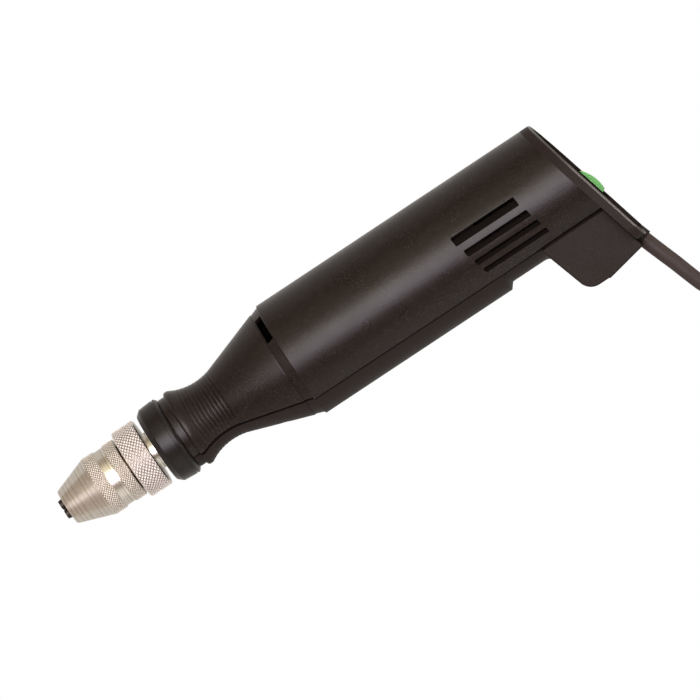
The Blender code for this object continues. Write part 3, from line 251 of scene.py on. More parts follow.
# ---- light
SKY_PEAK = 9.0
WARM = (1.0, 0.82, 0.64)
GOLD = (1.0, 0.92, 0.68)
COOL = (0.96, 0.88, 1.0)
SKY_SIDE = (0.52, 0.43, 0.37)
SKY_REAR = (3.4, 3.0, 2.6)
SKY_STOPS = (           # degrees from straight up towards the foot, level, tint
    (-180.0, 0.70, WARM),
    (-110.0, 0.60, WARM),
    (-66.0, 0.45, WARM),
    (-50.0, 1.05, GOLD),
    (-26.0, 1.20, GOLD),
    (-17.0, 6.00, (1.0, 0.93, 0.84)),
    (-4.0, 9.00, (1.0, 0.96, 0.97)),
    (9.0, 8.40, COOL),
    (18.0, 0.55, COOL),
    (30.0, 0.32, WARM),
    (44.0, 0.38, WARM),
    (58.0, 1.05, (1.0, 0.96, 0.92)),
    (90.0, 1.10, (1.0, 0.96, 0.92)),
    (180.0, 0.70, WARM),
)

KNURL_VALLEY_SHADE = (0.060, 0.044, 0.032, 1.0)      # painted shade in the valleys of the knurls
ROUND_STEPS = 192
WELD = 0.000002
SQUARE = ((-1, -1), (1, -1), (1, 1), (-1, 1))


# ---- places
def at_axis(x, drop=0.0, side=0.0):
    """Point at x along the spindle, `drop` towards the foot, `side` up."""
    return Vector((x, AXIS_Y - drop, AXIS_Z + side))


def rim_at(x, drop):
    """Where the raked plane that meets the spindle's axis at x lies at `drop`."""
    return x + SLANT * drop


def frame_of(*rows):
    return Matrix((*rows, (0, 0, 0, 1)))


def screw_frame(place, height=0.0):
    """Frame of a cover screw, which stands across the parting plane."""
    x, along = place
    return PARTED @ frame_of((0, 1, 0, x), (0, 0, 1, height), (1, 0, 0, along))


shift = Matrix.Translation
# about the spindle: X, across the parting plane, along it
PARTED = frame_of((1, 0, 0, 0), (0, -cos(PARTING), -sin(PARTING), AXIS_Y),
                  (0, -sin(PARTING), cos(PARTING), AXIS_Z))
RAKED = frame_of((1, -SLANT, 0, SLANT * AXIS_Y), (0, 1, 0, 0), (0, 0, 1, 0))
# on the rear plate: X towards the foot, Z out of the plate
ON_PLATE = frame_of((sin(RAKE), 0, cos(RAKE), rim_at(PLATE_FACE_X, SWITCH_DROP)),
                    (-cos(RAKE), 0, sin(RAKE), AXIS_Y - SWITCH_DROP), (0, -1, 0, AXIS_Z))
OUTLET_WAY = Vector((sin(OUTLET_TURN), -cos(OUTLET_TURN), 0.0))
OUTLET = shift(at_axis(OUTLET_X, OUTLET_DROP) + OUTLET_WAY * OUTLET_LENGTH) @ (
    OUTLET_WAY.to_track_quat("Z", "X").to_matrix().to_4x4())


# ---- mesh helpers
def rounded(corners, closed=True, parts=5):
    """Outline with arcs: each corner is (u, v), or (u, v, radius)."""
    points = []
    count = len(corners)
    for i, corner in enumerate(corners):
        here = Vector(corner[:2])
        ends = not closed and i in (0, count - 1)
        if len(corner) < 3 or ends:
            points.append((here.x, here.y))
            continue
        back = (Vector(corners[i - 1][:2]) - here).normalized()
        ahead = (Vector(corners[(i + 1) % count][:2]) - here).normalized()
        half = back.angle(ahead) / 2
        reach = corner[2] / tan(half)
        centre = here + (back + ahead).normalized() * (corner[2] / sin(half))
        start = here + back * reach - centre
        end = here + ahead * reach - centre
        sweep = pi - 2 * half
        for j in range(parts + 1):
            a = sin((1 - j / parts) * sweep) / sin(sweep)
            b = sin(j / parts * sweep) / sin(sweep)
            point = centre + start * a + end * b
            points.append((point.x, point.y))
    return points


def oblong(half_u, half_v, radius=0.0, parts=5):
    """Outline of a rectangle about the origin, rounded if it has a radius."""
    size = 3 if radius else 2
    return rounded([(u * half_u, v * half_v, radius)[:size] for u, v in SQUARE], parts=parts)


def moved(bm, place):
    if place:
        bmesh.ops.transform(bm, matrix=place, verts=bm.verts)
    return bm


def soften(bm, radius, kept):
    """Round the edges whose two ends `kept` agrees to."""
    edges = [edge for edge in bm.edges if kept(*[vert.co for vert in edge.verts])]
    bmesh.ops.bevel(bm, geom=edges, offset=radius, segments=4, profile=0.5, affect="EDGES")


def mesh_object(name, bm, *mats, sharp=32.0):
    """Finished mesh object, smooth but for the edges sharper than `sharp`."""
    bmesh.ops.recalc_face_normals(bm, faces=bm.faces)
    limit = radians(sharp)
    for face in bm.faces:
        face.smooth = True
    for edge in bm.edges:
        edge.smooth = len(edge.link_faces) == 2 and edge.calc_face_angle(0.0) < limit
    mesh = bpy.data.meshes.new(name)
    bm.to_mesh(mesh)
    bm.free()
    obj = bpy.data.objects.new(name, mesh)
    bpy.context.scene.collection.objects.link(obj)
    for mat in filter(None, mats):
        mesh.materials.append(mat)
    return obj


def bridge(bm, first, second, index=0):
    """Faces between two closed rings of as many corners, with a material index."""
    for i in range(len(first)):
        face = bm.faces.new((first[i - 1], first[i], second[i], second[i - 1]))
        face.material_index = index


def spun(points, centre, axis, steps, closed=False):
    """Mesh that a line of points leaves when it turns about an axis."""
    bm = bmesh.new()
    verts = [bm.verts.new(point) for point in points]
    edges = [bm.edges.new(pair) for pair in zip(verts, verts[1:] + verts[:closed])]
    bmesh.ops.spin(bm, geom=verts + edges, cent=centre, axis=axis, angle=2 * pi,
                   steps=steps, use_merge=True)
    bmesh.ops.remove_doubles(bm, verts=bm.verts, dist=WELD)
    return bm


def lathe_mesh(profile, steps=ROUND_STEPS, closed=True):
    """Mesh turned about the spindle from a line, or a loop, of (x, radius)."""
    points = [at_axis(x, 0.0, radius) for x, radius in profile]
    return spun(points, at_axis(0.0), (1, 0, 0), steps, closed)


def lathe(name, corners, mat=None, steps=ROUND_STEPS, closed=True, parts=4):
    return mesh_object(name, lathe_mesh(rounded(corners, closed, parts), steps, closed), mat)


def slab_mesh(outline, half_thick, place=None):
    """Flat outline (u, v) made solid to both sides of its plane."""
    bm = bmesh.new()
    face = bm.faces.new([bm.verts.new((u, v, -half_thick)) for u, v in outline])
    made = bmesh.ops.extrude_face_region(bm, geom=[face])
    far = [item for item in made["geom"] if isinstance(item, bmesh.types.BMVert)]
    bmesh.ops.translate(bm, vec=(0, 0, 2 * half_thick), verts=far)
    moved(bm, place)
    bmesh.ops.recalc_face_normals(bm, faces=bm.faces)
    return bm


def slab(name, outline, half_thick, place=None):
    return mesh_object(name, slab_mesh(outline, half_thick, place))


def block(name, low, high, place=None):
    low, high = Vector(low), Vector(high)
    bm = bmesh.new()
    bmesh.ops.create_cube(bm, size=1.0)
    bmesh.ops.scale(bm, vec=high - low, verts=bm.verts)
    bmesh.ops.translate(bm, vec=(high + low) / 2, verts=bm.verts)
    return mesh_object(name, moved(bm, place))


def bar(name, radius, length, place):
    """Cylinder along Z of `place`, centred on its origin."""
    bm = bmesh.new()
    bmesh.ops.create_cone(bm, cap_ends=True, segments=64, radius1=radius, radius2=radius,
                          depth=length)
    return mesh_object(name, moved(bm, place))


def marked(tool, index):
    """Cutter whose faces leave the piece's material `index` on what they cut."""
    for _ in range(index + 1):
        tool.data.materials.append(None)
    for face in tool.data.polygons:
        face.material_index = index
    return tool


def combine(obj, *steps):
    """Booleans one after another: a tool body alone is cut away, and one in a
    pair comes with its operation."""
    name, mats = obj.name, list(obj.data.materials)
    for step in steps:
        operation, tool = step if isinstance(step, tuple) else ("DIFFERENCE", step)
        change = obj.modifiers.new(tool.name, "BOOLEAN")
        change.operation = operation
        change.object = tool
        change.solver = "EXACT"
        bpy.context.view_layer.update()
        graph = bpy.context.evaluated_depsgraph_get()
        mesh = bpy.data.meshes.new_from_object(obj.evaluated_get(graph))
        obj.modifiers.clear()
        bpy.data.objects.remove(tool, do_unlink=True)
        bm = bmesh.new()
        bm.from_mesh(mesh)
        bmesh.ops.remove_doubles(bm, verts=bm.verts, dist=WELD / 2)
        bm.to_mesh(mesh)
        bm.free()
        obj.data = mesh
    bm = bmesh.new()
    bm.from_mesh(obj.data)
    bpy.data.objects.remove(obj, do_unlink=True)
    return mesh_object(name, bm, *mats)


def settle(obj, body, slot, *nodes):
    """Last step of a piece: its body and the nodes it stands for; `slot` is not used."""
    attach(obj, body)
    if nodes:
        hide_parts(*nodes)
    return obj


def smooth_line(points, step):
    """Even points on a smooth curve through the given ones."""
    dense = []
    ends = [points[0] * 2 - points[1]] + points + [points[-1] * 2 - points[-2]]
    for i in range(1, len(ends) - 2):
        before, start, end, after = ends[i - 1:i + 3]
        for j in range(20):
            t = j / 20
            a = 2 * start + (end - before) * t
            b = (2 * before - 5 * start + 4 * end - after) * t**2
            c = (3 * start - before - 3 * end + after) * t**3
            dense.append((a + b + c) / 2)
    dense.append(points[-1])
    lengths = [0.0]
    for before, point in zip(dense, dense[1:]):
        lengths.append(lengths[-1] + (point - before).length)
    count = max(2, round(lengths[-1] / step))
    line, at = [], 0
    for i in range(count + 1):
        want = lengths[-1] * i / count
        while at < len(dense) - 2 and lengths[at + 1] < want:
            at += 1
        share = (want - lengths[at]) / (lengths[at + 1] - lengths[at])
        line.append(dense[at].lerp(dense[at + 1], min(1.0, share)))
    return line


# ---- materials
def put(tree, socket, value):
    """Link a socket to another, or give it a value."""
    if isinstance(value, bpy.types.NodeSocket):
        tree.links.new(value, socket)
    else:
        socket.default_value = value


def add(tree, kind, settings=None, **inputs):
    """Node of a kind with its settings, and its inputs by name or as _number."""
    node = tree.nodes.new(kind)
    for key, value in (settings or {}).items():
        setattr(node, key, value)
    for key, value in inputs.items():
        label = int(key[1:]) if key[1:].isdigit() else key.replace("_", " ")
        put(tree, node.inputs[label], value)
    return node


def maths(tree, operation, *values, clamp=False):
    node = add(tree, "ShaderNodeMath", {"operation": operation, "use_clamp": clamp})
    for socket, value in zip(node.inputs, values):
        put(tree, socket, value)
    return node.outputs[0]


def mix_colour(tree, factor, first, second):
    mix = add(tree, "ShaderNodeMix", {"data_type": "RGBA"}, _0=factor, _6=first, _7=second)
    return mix.outputs[2]


def noise(tree, place, scale, detail, **more):
    return add(tree, "ShaderNodeTexNoise", Vector=place, Scale=scale, Detail=detail,
               **more).outputs[0]


def ramp_between(tree, value, low, high, top=1.0):
    """0 up to `low`, `top` from `high` on, and a straight line between."""
    return add(tree, "ShaderNodeMapRange", Value=value, From_Min=low, From_Max=high,
               To_Min=0.0, To_Max=top).outputs[0]


def edge_share(tree, normal):
    """How much the rounded normal leaves the true one: 1 on an edge."""
    face = tree.nodes.new("ShaderNodeNewGeometry")
    dot = add(tree, "ShaderNodeVectorMath", {"operation": "DOT_PRODUCT"}, _0=normal,
              _1=face.outputs["True Normal"])
    away = maths(tree, "SUBTRACT", 1.0, dot.outputs["Value"])
    return maths(tree, "MULTIPLY", away, 4.0, clamp=True)


def open_skin(name, rounding, **inputs):
    """New shader group for a surface, with the place and rounded normal it works on."""
    tree = bpy.data.node_groups.new(name, "ShaderNodeTree")
    for label, value in inputs.items():
        kind = "NodeSocketColor" if isinstance(value, tuple) else "NodeSocketFloat"
        socket = tree.interface.new_socket(label, in_out="INPUT", socket_type=kind)
        socket.default_value = value
    for label, kind in (("Colour", "Color"), ("Roughness", "Float"), ("Normal", "Vector")):
        tree.interface.new_socket(label, in_out="OUTPUT", socket_type="NodeSocket" + kind)
    normal = add(tree, "ShaderNodeBevel", {"samples": 4}, Radius=rounding).outputs[0]
    place = tree.nodes.new("ShaderNodeTexCoord").outputs["Object"]
    return tree, tree.nodes.new("NodeGroupInput").outputs, place, normal


def close_skin(tree, given, normal, height, colour, rough):
    """Last part of a skin: its bump and its outputs."""
    bump = add(tree, "ShaderNodeBump", Strength=1.0, Height=height, Distance=given["Depth"],
               Normal=normal)
    out = tree.nodes.new("NodeGroupOutput")
    for socket, value in zip(out.inputs, (colour, rough, bump.outputs[0])):
        put(tree, socket, value)
    return tree


def moulded_skin():
    """Spark-eroded plastic: fine grain, lighter flecks that are partly painted glints, rubbed
    edges, handling marks.
    """
    tree, given, place, normal = open_skin(
        "moulded_skin", 0.00016, Base=(0.02, 0.02, 0.02, 1), Fleck=(0.05, 0.05, 0.05, 1),
        Rub=(0.08, 0.07, 0.06, 1), Grain=2400.0, Depth=0.00002, Roughness=0.45)
    grain = noise(tree, place, given["Grain"], 2.0, Roughness=0.6)
    # lighter flecks on the grain's peaks: partly the plastic's mottle, partly painted glints
    fleck_glint = ramp_between(tree, grain, 0.58, 0.74)
    colour = mix_colour(tree, fleck_glint, given["Base"], given["Fleck"])
    smear = noise(tree, place, 260.0, 2.0)
    worn = maths(tree, "MULTIPLY", edge_share(tree, normal), smear, clamp=True)
    colour = mix_colour(tree, worn, colour, given["Rub"])
    uneven = maths(tree, "SUBTRACT", noise(tree, place, 70.0, 3.0), 0.5)
    rough = maths(tree, "ADD", given["Roughness"], maths(tree, "MULTIPLY", uneven, 0.22))
    glint = maths(tree, "MULTIPLY", fleck_glint, -0.10)
    rough = maths(tree, "ADD", rough, glint, clamp=True)
    return close_skin(tree, given, normal, grain, colour, rough)


def turned_skin():
    """Lathe-turned metal: fine rings round the spindle, smudges, duller spots, and
    painted shade that darkens a knurl from its valleys up to `Cut` below its crest."""
    tree, given, place, normal = open_skin(
        "turned_skin", 0.00012, Base=(0.7, 0.7, 0.7, 1), Shade=(0.4, 0.36, 0.3, 1),
        Lines=5200.0, Streak=0.0, Crest=0.0, Cut=0.0003, Depth=0.000004, Roughness=0.26)
    x, y, z = add(tree, "ShaderNodeSeparateXYZ", Vector=place).outputs
    rings = add(tree, "ShaderNodeTexNoise", {"noise_dimensions": "1D"}, Scale=1.0, Detail=3.0,
                Roughness=0.75, W=maths(tree, "MULTIPLY", x, given["Lines"])).outputs[0]
    dull = ramp_between(tree, noise(tree, place, 900.0, 4.0), 0.48, 0.78, 0.6)
    line = ramp_between(tree, rings, 0.42, 0.62)
    streak = maths(tree, "MULTIPLY", line, given["Streak"])
    shade = maths(tree, "MAXIMUM", dull, streak)
    colour = mix_colour(tree, shade, given["Base"], given["Shade"])
    squares = []
    for part, centre in ((y, AXIS_Y), (z, AXIS_Z)):
        away = maths(tree, "SUBTRACT", part, centre)
        squares.append(maths(tree, "MULTIPLY", away, away))
    radius = maths(tree, "SQRT", maths(tree, "ADD", *squares))
    # painted shade: the colour darkens where the knurl sinks below its crest
    sunk = maths(tree, "SUBTRACT", given["Crest"], radius)
    valley_shade = maths(tree, "DIVIDE", sunk, given["Cut"], clamp=True)
    colour = mix_colour(tree, valley_shade, colour, KNURL_VALLEY_SHADE)
    smudge = maths(tree, "MULTIPLY", noise(tree, place, 120.0, 3.0), 0.16)
    rough = maths(tree, "ADD", given["Roughness"], smudge, clamp=True)
    return close_skin(tree, given, normal, rings, colour, rough)


MOULDED = moulded_skin()
TURNED = turned_skin()


def finish(name, skin, metallic, specular, **values):
    """Principled material whose colour, roughness and bump come from a group."""
    mat = bpy.data.materials.new(name)
    mat.use_nodes = True
    tree = mat.node_tree
    group = add(tree, "ShaderNodeGroup", {"node_tree": skin})
    for label, value in values.items():
        put(tree, group.inputs[label], (*value, 1.0) if isinstance(value, tuple) else value)
    colour, rough, normal = group.outputs
    for label, value in (("Metallic", metallic), ("Specular IOR Level", specular),
                         ("Base Color", colour), ("Roughness", rough), ("Normal", normal)):
        put(tree, tree.nodes["Principled BSDF"].inputs[label], value)
    return mat


def plastic(name, base, fleck_glint, rub, grain, depth, roughness, specular=0.5):
    """Three colours, the fineness and the depth of the grain, roughness and sheen."""
    return finish(name, MOULDED, 0.0, specular, Base=base, Fleck=fleck_glint, Rub=rub, Grain=grain,
                  Depth=depth, Roughness=roughness)


def metal(name, base, shade, lines, depth, roughness, metallic=1.0, **more):
    """Two colours, the fineness and the depth of the turning marks, and roughness."""
    return finish(name, TURNED, metallic, 0.5, Base=base, Shade=shade, Lines=lines, Depth=depth,
                  Roughness=roughness, **more)


# the housing's flecks are far lighter than its base: partly painted glints on the grain
HOUSING = plastic("housing_brown", (0.0070, 0.0038, 0.0026), (0.060, 0.046, 0.043),
    (0.026, 0.019, 0.016), 2700.0, 0.000055, 0.29, 0.25)
# the housing plastic again with almost no sheen and a flatter, lighter base: a shaded copy, painted
# shade where the sky's bands would give a highlight
HOUSING_SHADED_COPY = plastic("housing_painted_shade", (0.0170, 0.0125, 0.0110), (0.032, 0.025, 0.024),
    (0.045, 0.034, 0.030), 2700.0, 0.000040, 0.45, 0.05)
BLACK = plastic("black_moulding", (0.0078, 0.0058, 0.0054), (0.018, 0.015, 0.014),
    (0.036, 0.030, 0.026), 3400.0, 0.000024, 0.30, 0.24)
# near-black matte plastic: the end plate's own colour, and painted shade where marked cutters leave
# it on seam faces, slot walls and the recess groove
PLATE_BLACK_AND_GAP_SHADE = plastic("end_plate_black_and_painted_gap_shade", (0.0080, 0.0062, 0.0055), (0.014, 0.012, 0.010),
    (0.012, 0.010, 0.009), 2600.0, 0.000030, 0.70, 0.0)
# a lighter, shinier copy of the housing plastic for the end frame's rounded rim: painted highlight
RIM_HIGHLIGHT = plastic("housing_rim_painted_highlight", (0.0250, 0.0190, 0.0150), (0.040, 0.034, 0.030),
    (0.045, 0.034, 0.030), 2300.0, 0.000010, 0.30, 0.9)
GREEN = plastic("rocker_green", (0.130, 0.400, 0.120), (0.140, 0.420, 0.130), (0.20, 0.48, 0.19),
    5200.0, 0.000002, 0.45, 0.15)
MARK = plastic("mark_green", (0.025, 0.110, 0.035), (0.032, 0.120, 0.040), (0.03, 0.11, 0.04),
    5200.0, 0.000004, 0.50, 0.1)
SHEATH = plastic("cord_sheath", (0.036, 0.026, 0.024), (0.056, 0.042, 0.039),
    (0.07, 0.054, 0.050), 3800.0, 0.000010, 0.50, 0.16)
STRAP = plastic("tie_strap", (0.012, 0.012, 0.013), (0.030, 0.030, 0.032), (0.05, 0.05, 0.05),
    2000.0, 0.000040, 0.62)
FERRITE = plastic("magnet_ferrite", (0.050, 0.050, 0.055), (0.075, 0.075, 0.080),
    (0.11, 0.11, 0.11), 1500.0, 0.000040, 0.62)
CARBON = plastic("brush_carbon", (0.028, 0.028, 0.030), (0.060, 0.060, 0.064), (0.08, 0.08, 0.08),
    2800.0, 0.000020, 0.50)
CONE_STEEL = metal("turned_steel", (0.76, 0.72, 0.65), (0.38, 0.33, 0.27), 1700.0, 0.000016, 0.20,
    Streak=0.75)
# Crest and Cut set the painted shade in the valleys of these knurls
SLEEVE_STEEL = metal("knurled_sleeve", (0.86, 0.81, 0.73), (0.62, 0.55, 0.46), 5200.0, 0.000002,
    0.34, 0.60, Crest=SLEEVE_RADIUS - 0.00006, Cut=0.00020)
KNURL_STEEL = metal("knurled_steel", (0.94, 0.89, 0.86), (0.72, 0.65, 0.60), 5200.0, 0.000002,
    0.34, 0.60, Crest=GRIP_RADIUS - 0.00008, Cut=0.00028)
HUB_STEEL = metal("hub_steel", (0.80, 0.76, 0.70), (0.55, 0.48, 0.40), 3400.0, 0.000003, 0.20)
DARK_STEEL = metal("blackened_steel", (0.050, 0.040, 0.036), (0.025, 0.020, 0.018), 4000.0,
    0.000003, 0.34)
PLAIN_STEEL = metal("plain_steel", (0.50, 0.50, 0.50), (0.30, 0.29, 0.28), 3000.0, 0.000003, 0.28)
COPPER = metal("copper_wire", (0.62, 0.27, 0.13), (0.36, 0.14, 0.07), 2600.0, 0.000060, 0.30)
BRONZE = metal("sintered_bronze", (0.45, 0.30, 0.13), (0.28, 0.18, 0.08), 2600.0, 0.000006, 0.42)


# ---- camera
def place_camera():
    """Camera above the drill, turned so that the chuck points down to the left."""
    data = bpy.data.cameras.new("view")
    data.sensor_width = SENSOR_WIDTH
    data.lens = SENSOR_WIDTH * VIEW_DISTANCE / VIEW_WIDTH
    data.clip_start, data.clip_end = VIEW_CLIP
    camera = bpy.data.objects.new("view", data)
    camera.matrix_world = (shift(VIEW_AIM) @ Matrix.Rotation(VIEW_LEAN, 4, "Y")
                           @ shift((0, 0, VIEW_DISTANCE)) @ Matrix.Rotation(-TOOL_TURN, 4, "Z"))
    scene = bpy.context.scene
    scene.collection.objects.link(camera)
    scene.camera = camera
    scene.render.resolution_x = scene.render.resolution_y = PHOTO_SIZE
    scene.render.resolution_percentage = 100
    scene.view_settings.view_transform = "Standard"


place_camera()


# ---- cord
def coil_place(turn):
    """Point of the coil: inward on top, down, and outward on the floor."""
    low = CORD_RADIUS + FLOOR_LIFT
    down = min(max((turn - COIL_TURNS_IN) / COIL_TURNS_DOWN, 0.0), 1.0)
    out = max(turn - COIL_TURNS_IN - COIL_TURNS_DOWN, 0.0)
    radius = COIL_RADIUS + COIL_STEP * (out - min(turn, COIL_TURNS_IN))
    radius -= COIL_DIP * sin(pi * down)
    angle = 2 * pi * turn - pi / 2
    return Vector((COIL_X + radius * cos(angle), COIL_Y + radius * sin(angle),
                   low + COIL_STEP * (1 - down)))


def coil_line():
    turns = COIL_TURNS_IN + COIL_TURNS_DOWN + COIL_TURNS_OUT
    count = round(turns * TURN_POINTS)
    line = [coil_place(turns * i / count) for i in range(count + 1)]
    little = 1e-3
    ahead = (coil_place(little) - line[0]).normalized()
    onward = (line[-1] - coil_place(turns - little)).normalized()
    return [line[0] - ahead * CORD_DIAMETER] + line + [line[-1] + onward * CORD_DIAMETER]


def cord():
    """The lead as one round line, with its plug and the strap round its coil."""
    start = at_axis(OUTLET_X, OUTLET_DROP) + OUTLET_WAY * GAP
    mouth = start + OUTLET_WAY * (OUTLET_LENGTH + CORD_DIAMETER)
    coil = coil_line()
    run = smooth_line([start, mouth] + [Vector(p) for p in RUN_POINTS] + [coil[0]],
                      CORD_POINT_STEP)
    end = Vector((PLUG_X, PLUG_Y, PLUG_RADIUS + FLOOR_LIFT))
    tail = smooth_line([coil[-1]] + [Vector(p) for p in TAIL_POINTS] + [end],
                       CORD_POINT_STEP)
    line = run[:-1] + coil + tail[1:]
    curve = bpy.data.curves.new("lead", "CURVE")
    curve.dimensions = "3D"
    curve.bevel_depth = CORD_RADIUS
    curve.bevel_resolution = 7
    curve.use_fill_caps = True
    path = curve.splines.new("POLY")
    path.points.add(len(line) - 1)
    for i, (point, place) in enumerate(zip(path.points, line)):
        point.co = (*place, 1.0)
        narrowed = min(1.0, i * CORD_POINT_STEP / RELIEF_LENGTH)
        point.radius = 1.0 + RELIEF_SHARE * (1.0 - narrowed)
    path.use_smooth = True
    lead = bpy.data.objects.new("lead", curve)
    bpy.context.scene.collection.objects.link(lead)
    curve.materials.append(SHEATH)
    settle(lead, "tool", "cord_sheath", "cord_run", "cord_coil", "cord_tail")
    moulding = plug_moulding(end)
    strap = coil_strap()


def grooves(start, pitch, count, wide, radius, depth):
    """Corners of even grooves in the plug, from `start` towards its front."""
    corners = []
    for i in range(count):
        x = start - i * pitch
        corners += [(x, radius), (x - 0.0002, radius - depth),
                    (x - wide + 0.0002, radius - depth), (x - wide, radius)]
    return corners


def plug_moulding(place):
    """Moulded plug body with a ribbed grip, on its own axis."""
    rear = -GAP
    neck = rear - PLUG_NECK_LENGTH
    front = rear - PLUG_LENGTH
    corners = [(rear, 0.0), (rear, PLUG_NECK_RADIUS, 0.0003),
               *grooves(rear - 0.0014, 0.0018, 4, 0.0010, PLUG_NECK_RADIUS, 0.0005),
               (neck, PLUG_NECK_RADIUS, 0.0004), (neck - 0.0008, PLUG_RADIUS, 0.0006),
               *grooves(neck - 0.0040, 0.0016, 5, 0.0008, PLUG_RADIUS, 0.0003),
               (front, PLUG_RADIUS, 0.0008), (front, 0.0)]
    bm = lathe_mesh(rounded(corners, False), 96, closed=False)
    bmesh.ops.translate(bm, vec=place - at_axis(0.0), verts=bm.verts)
    return settle(mesh_object("plug_moulding", bm, BLACK), "tool", "black_plastic", "cord_plug")


def coil_strap():
    """Thin strap round one side of the coil, from its floor to its top."""
    wide = COIL_STEP * COIL_TURNS_IN + CORD_DIAMETER
    middle = COIL_RADIUS - COIL_STEP * COIL_TURNS_IN / 2
    tall = COIL_STEP + CORD_DIAMETER
    bm = bmesh.new()
    layers = []
    for grow in (0.00005, STRAP_THICK):
        loop = oblong(wide / 2 + grow, tall / 2 + grow, STRAP_CORNER + grow, parts=8)
        for side in (-STRAP_HALF_WIDTH, STRAP_HALF_WIDTH):
            layers.append([bm.verts.new((u, side, v)) for u, v in loop])
    inner_low, inner_high, outer_low, outer_high = layers
    for first, second in ((inner_low, inner_high), (inner_high, outer_high),
                          (outer_high, outer_low), (outer_low, inner_low)):
        bridge(bm, first, second)
    turn = Matrix.Rotation(STRAP_TURN, 4, "Z")
    centre = Vector((COIL_X, COIL_Y, FLOOR_LIFT + tall / 2)) + turn @ Vector((middle, 0.0, 0.0))
    strap = mesh_object("coil_strap", moved(bm, shift(centre) @ turn), STRAP)
    return settle(strap, "tool", "black_plastic")


cord()


# ---- housing
def below_parting(name, offset, rear_x):
    """Everything on the foot's side of the parting plane, up to the end frame."""
    far = 2 * END_DROP
    return block(name, (SLEEVE_FRONT - far, offset, -far), (rear_x, far, far), RAKED @ PARTED)


def arch_slab(name, inset, front_x, rear_x, mats=(), soft=0.0):
    """Raked slice of the rear end's outline, its rear edge rounded by `soft`.

    Of two materials the second covers the rounded edge.
    """
    radius = BARREL_RADIUS + END_PROUD - inset
    bottom = inset - END_DROP
    corner = max(END_CORNER - inset, 0.0010)
    parts = 72
    angles = [pi / 2 - pi * i / parts for i in range(parts + 1)]
    corners = [(radius * cos(angle), radius * sin(angle)) for angle in angles]
    corners += [(bottom, -radius, corner), (bottom, radius, corner)]
    half = (rear_x - front_x) / 2
    bm = slab_mesh(rounded(corners, parts=8), half)
    if soft:
        soften(bm, soft, lambda a, b: min(a.z, b.z) > half - WELD)
        bm.normal_update()
        for face in bm.faces:
            face.material_index = int(len(mats) == 2 and 0.05 < abs(face.normal.z) < 0.95)
    stand = frame_of((0, 0, 1, (rear_x + front_x) / 2), (1, 0, 0, AXIS_Y), (0, 1, 0, AXIS_Z))
    return mesh_object(name, moved(bm, RAKED @ stand), *mats)


def grip_radius(x):
    """Outside of the nose: a concave grip curve that runs into a cone."""
    bend_end = WAIST_X + WAIST_BEND * sin(CONE_SLOPE)
    if x < bend_end:
        return WAIST_RADIUS + WAIST_BEND - sqrt(WAIST_BEND**2 - (x - WAIST_X)**2)
    rise = WAIST_BEND * (1 - cos(CONE_SLOPE))
    return WAIST_RADIUS + rise + (x - bend_end) * tan(CONE_SLOPE)


def nose_corners():
    """Outside of nose and band, from the barrel's step to the spigot."""
    band_front = BARREL_FRONT - BAND_LENGTH
    corners = [(BARREL_FRONT, BARREL_RADIUS, 0.0003), (BARREL_FRONT, BAND_REAR_RADIUS),
               (band_front, BAND_FRONT_RADIUS), (band_front, CONE_RADIUS, 0.0004)]
    x = WAIST_X + WAIST_BEND * sin(CONE_SLOPE)
    while x > RIB_REAR + 0.0006:
        corners.append((x, grip_radius(x)))
        x -= 0.0008
    parts = 10
    for i in range(RIB_COUNT * parts + 1):
        x = RIB_REAR - i * RIB_PITCH / parts
        dip = RIB_DEPTH * (0.5 - 0.5 * cos(2 * pi * i / parts))**1.6
        corners.append((x, grip_radius(x) - dip))
    for share in (0.35, 0.7, 1.0):
        x = RIB_FRONT + (LIP_FRONT + LIP_LENGTH - RIB_FRONT) * share
        corners.append((x, grip_radius(x)))
    corners += [(LIP_FRONT + 0.35 * LIP_LENGTH, LIP_RADIUS, 0.0004),
                (LIP_FRONT, LIP_RADIUS - 0.25 * LIP_LENGTH, 0.0003),
                (LIP_FRONT, NECK_RADIUS), (NECK_FRONT, NECK_RADIUS, 0.0002),
                (NECK_FRONT, SPIGOT_RADIUS), (SPIGOT_FRONT, SPIGOT_RADIUS)]
    return corners


def even_grip(mesh):
    """Ribs stay full on the grip's flanks and fade towards crown and foot."""
    for vert in mesh.vertices:
        out = Vector((0.0, vert.co.y - AXIS_Y, vert.co.z - AXIS_Z))
        if not RIB_FRONT < vert.co.x < RIB_REAR or out.length < NOSE_BORE:
            continue
        full = grip_radius(vert.co.x)
        lean = out.y / out.length
        fade = (lean - 0.72) / 0.22 if lean > 0 else (-lean - 0.40) / 0.30
        keep = 1.0 - (1.0 - RIB_REST) * min(max(fade, 0.0), 1.0)
        radius = full - (full - out.length) * keep
        vert.co += out.normalized() * (radius - out.length)


def screw_bars(name, radius, low, high):
    """Cylinders across the parting plane, one for each cover screw."""
    return [bar(f"{name}_{i + 1}", radius, high - low, screw_frame(place, (low + high) / 2))
            for i, place in enumerate(SCREW_PLACES)]


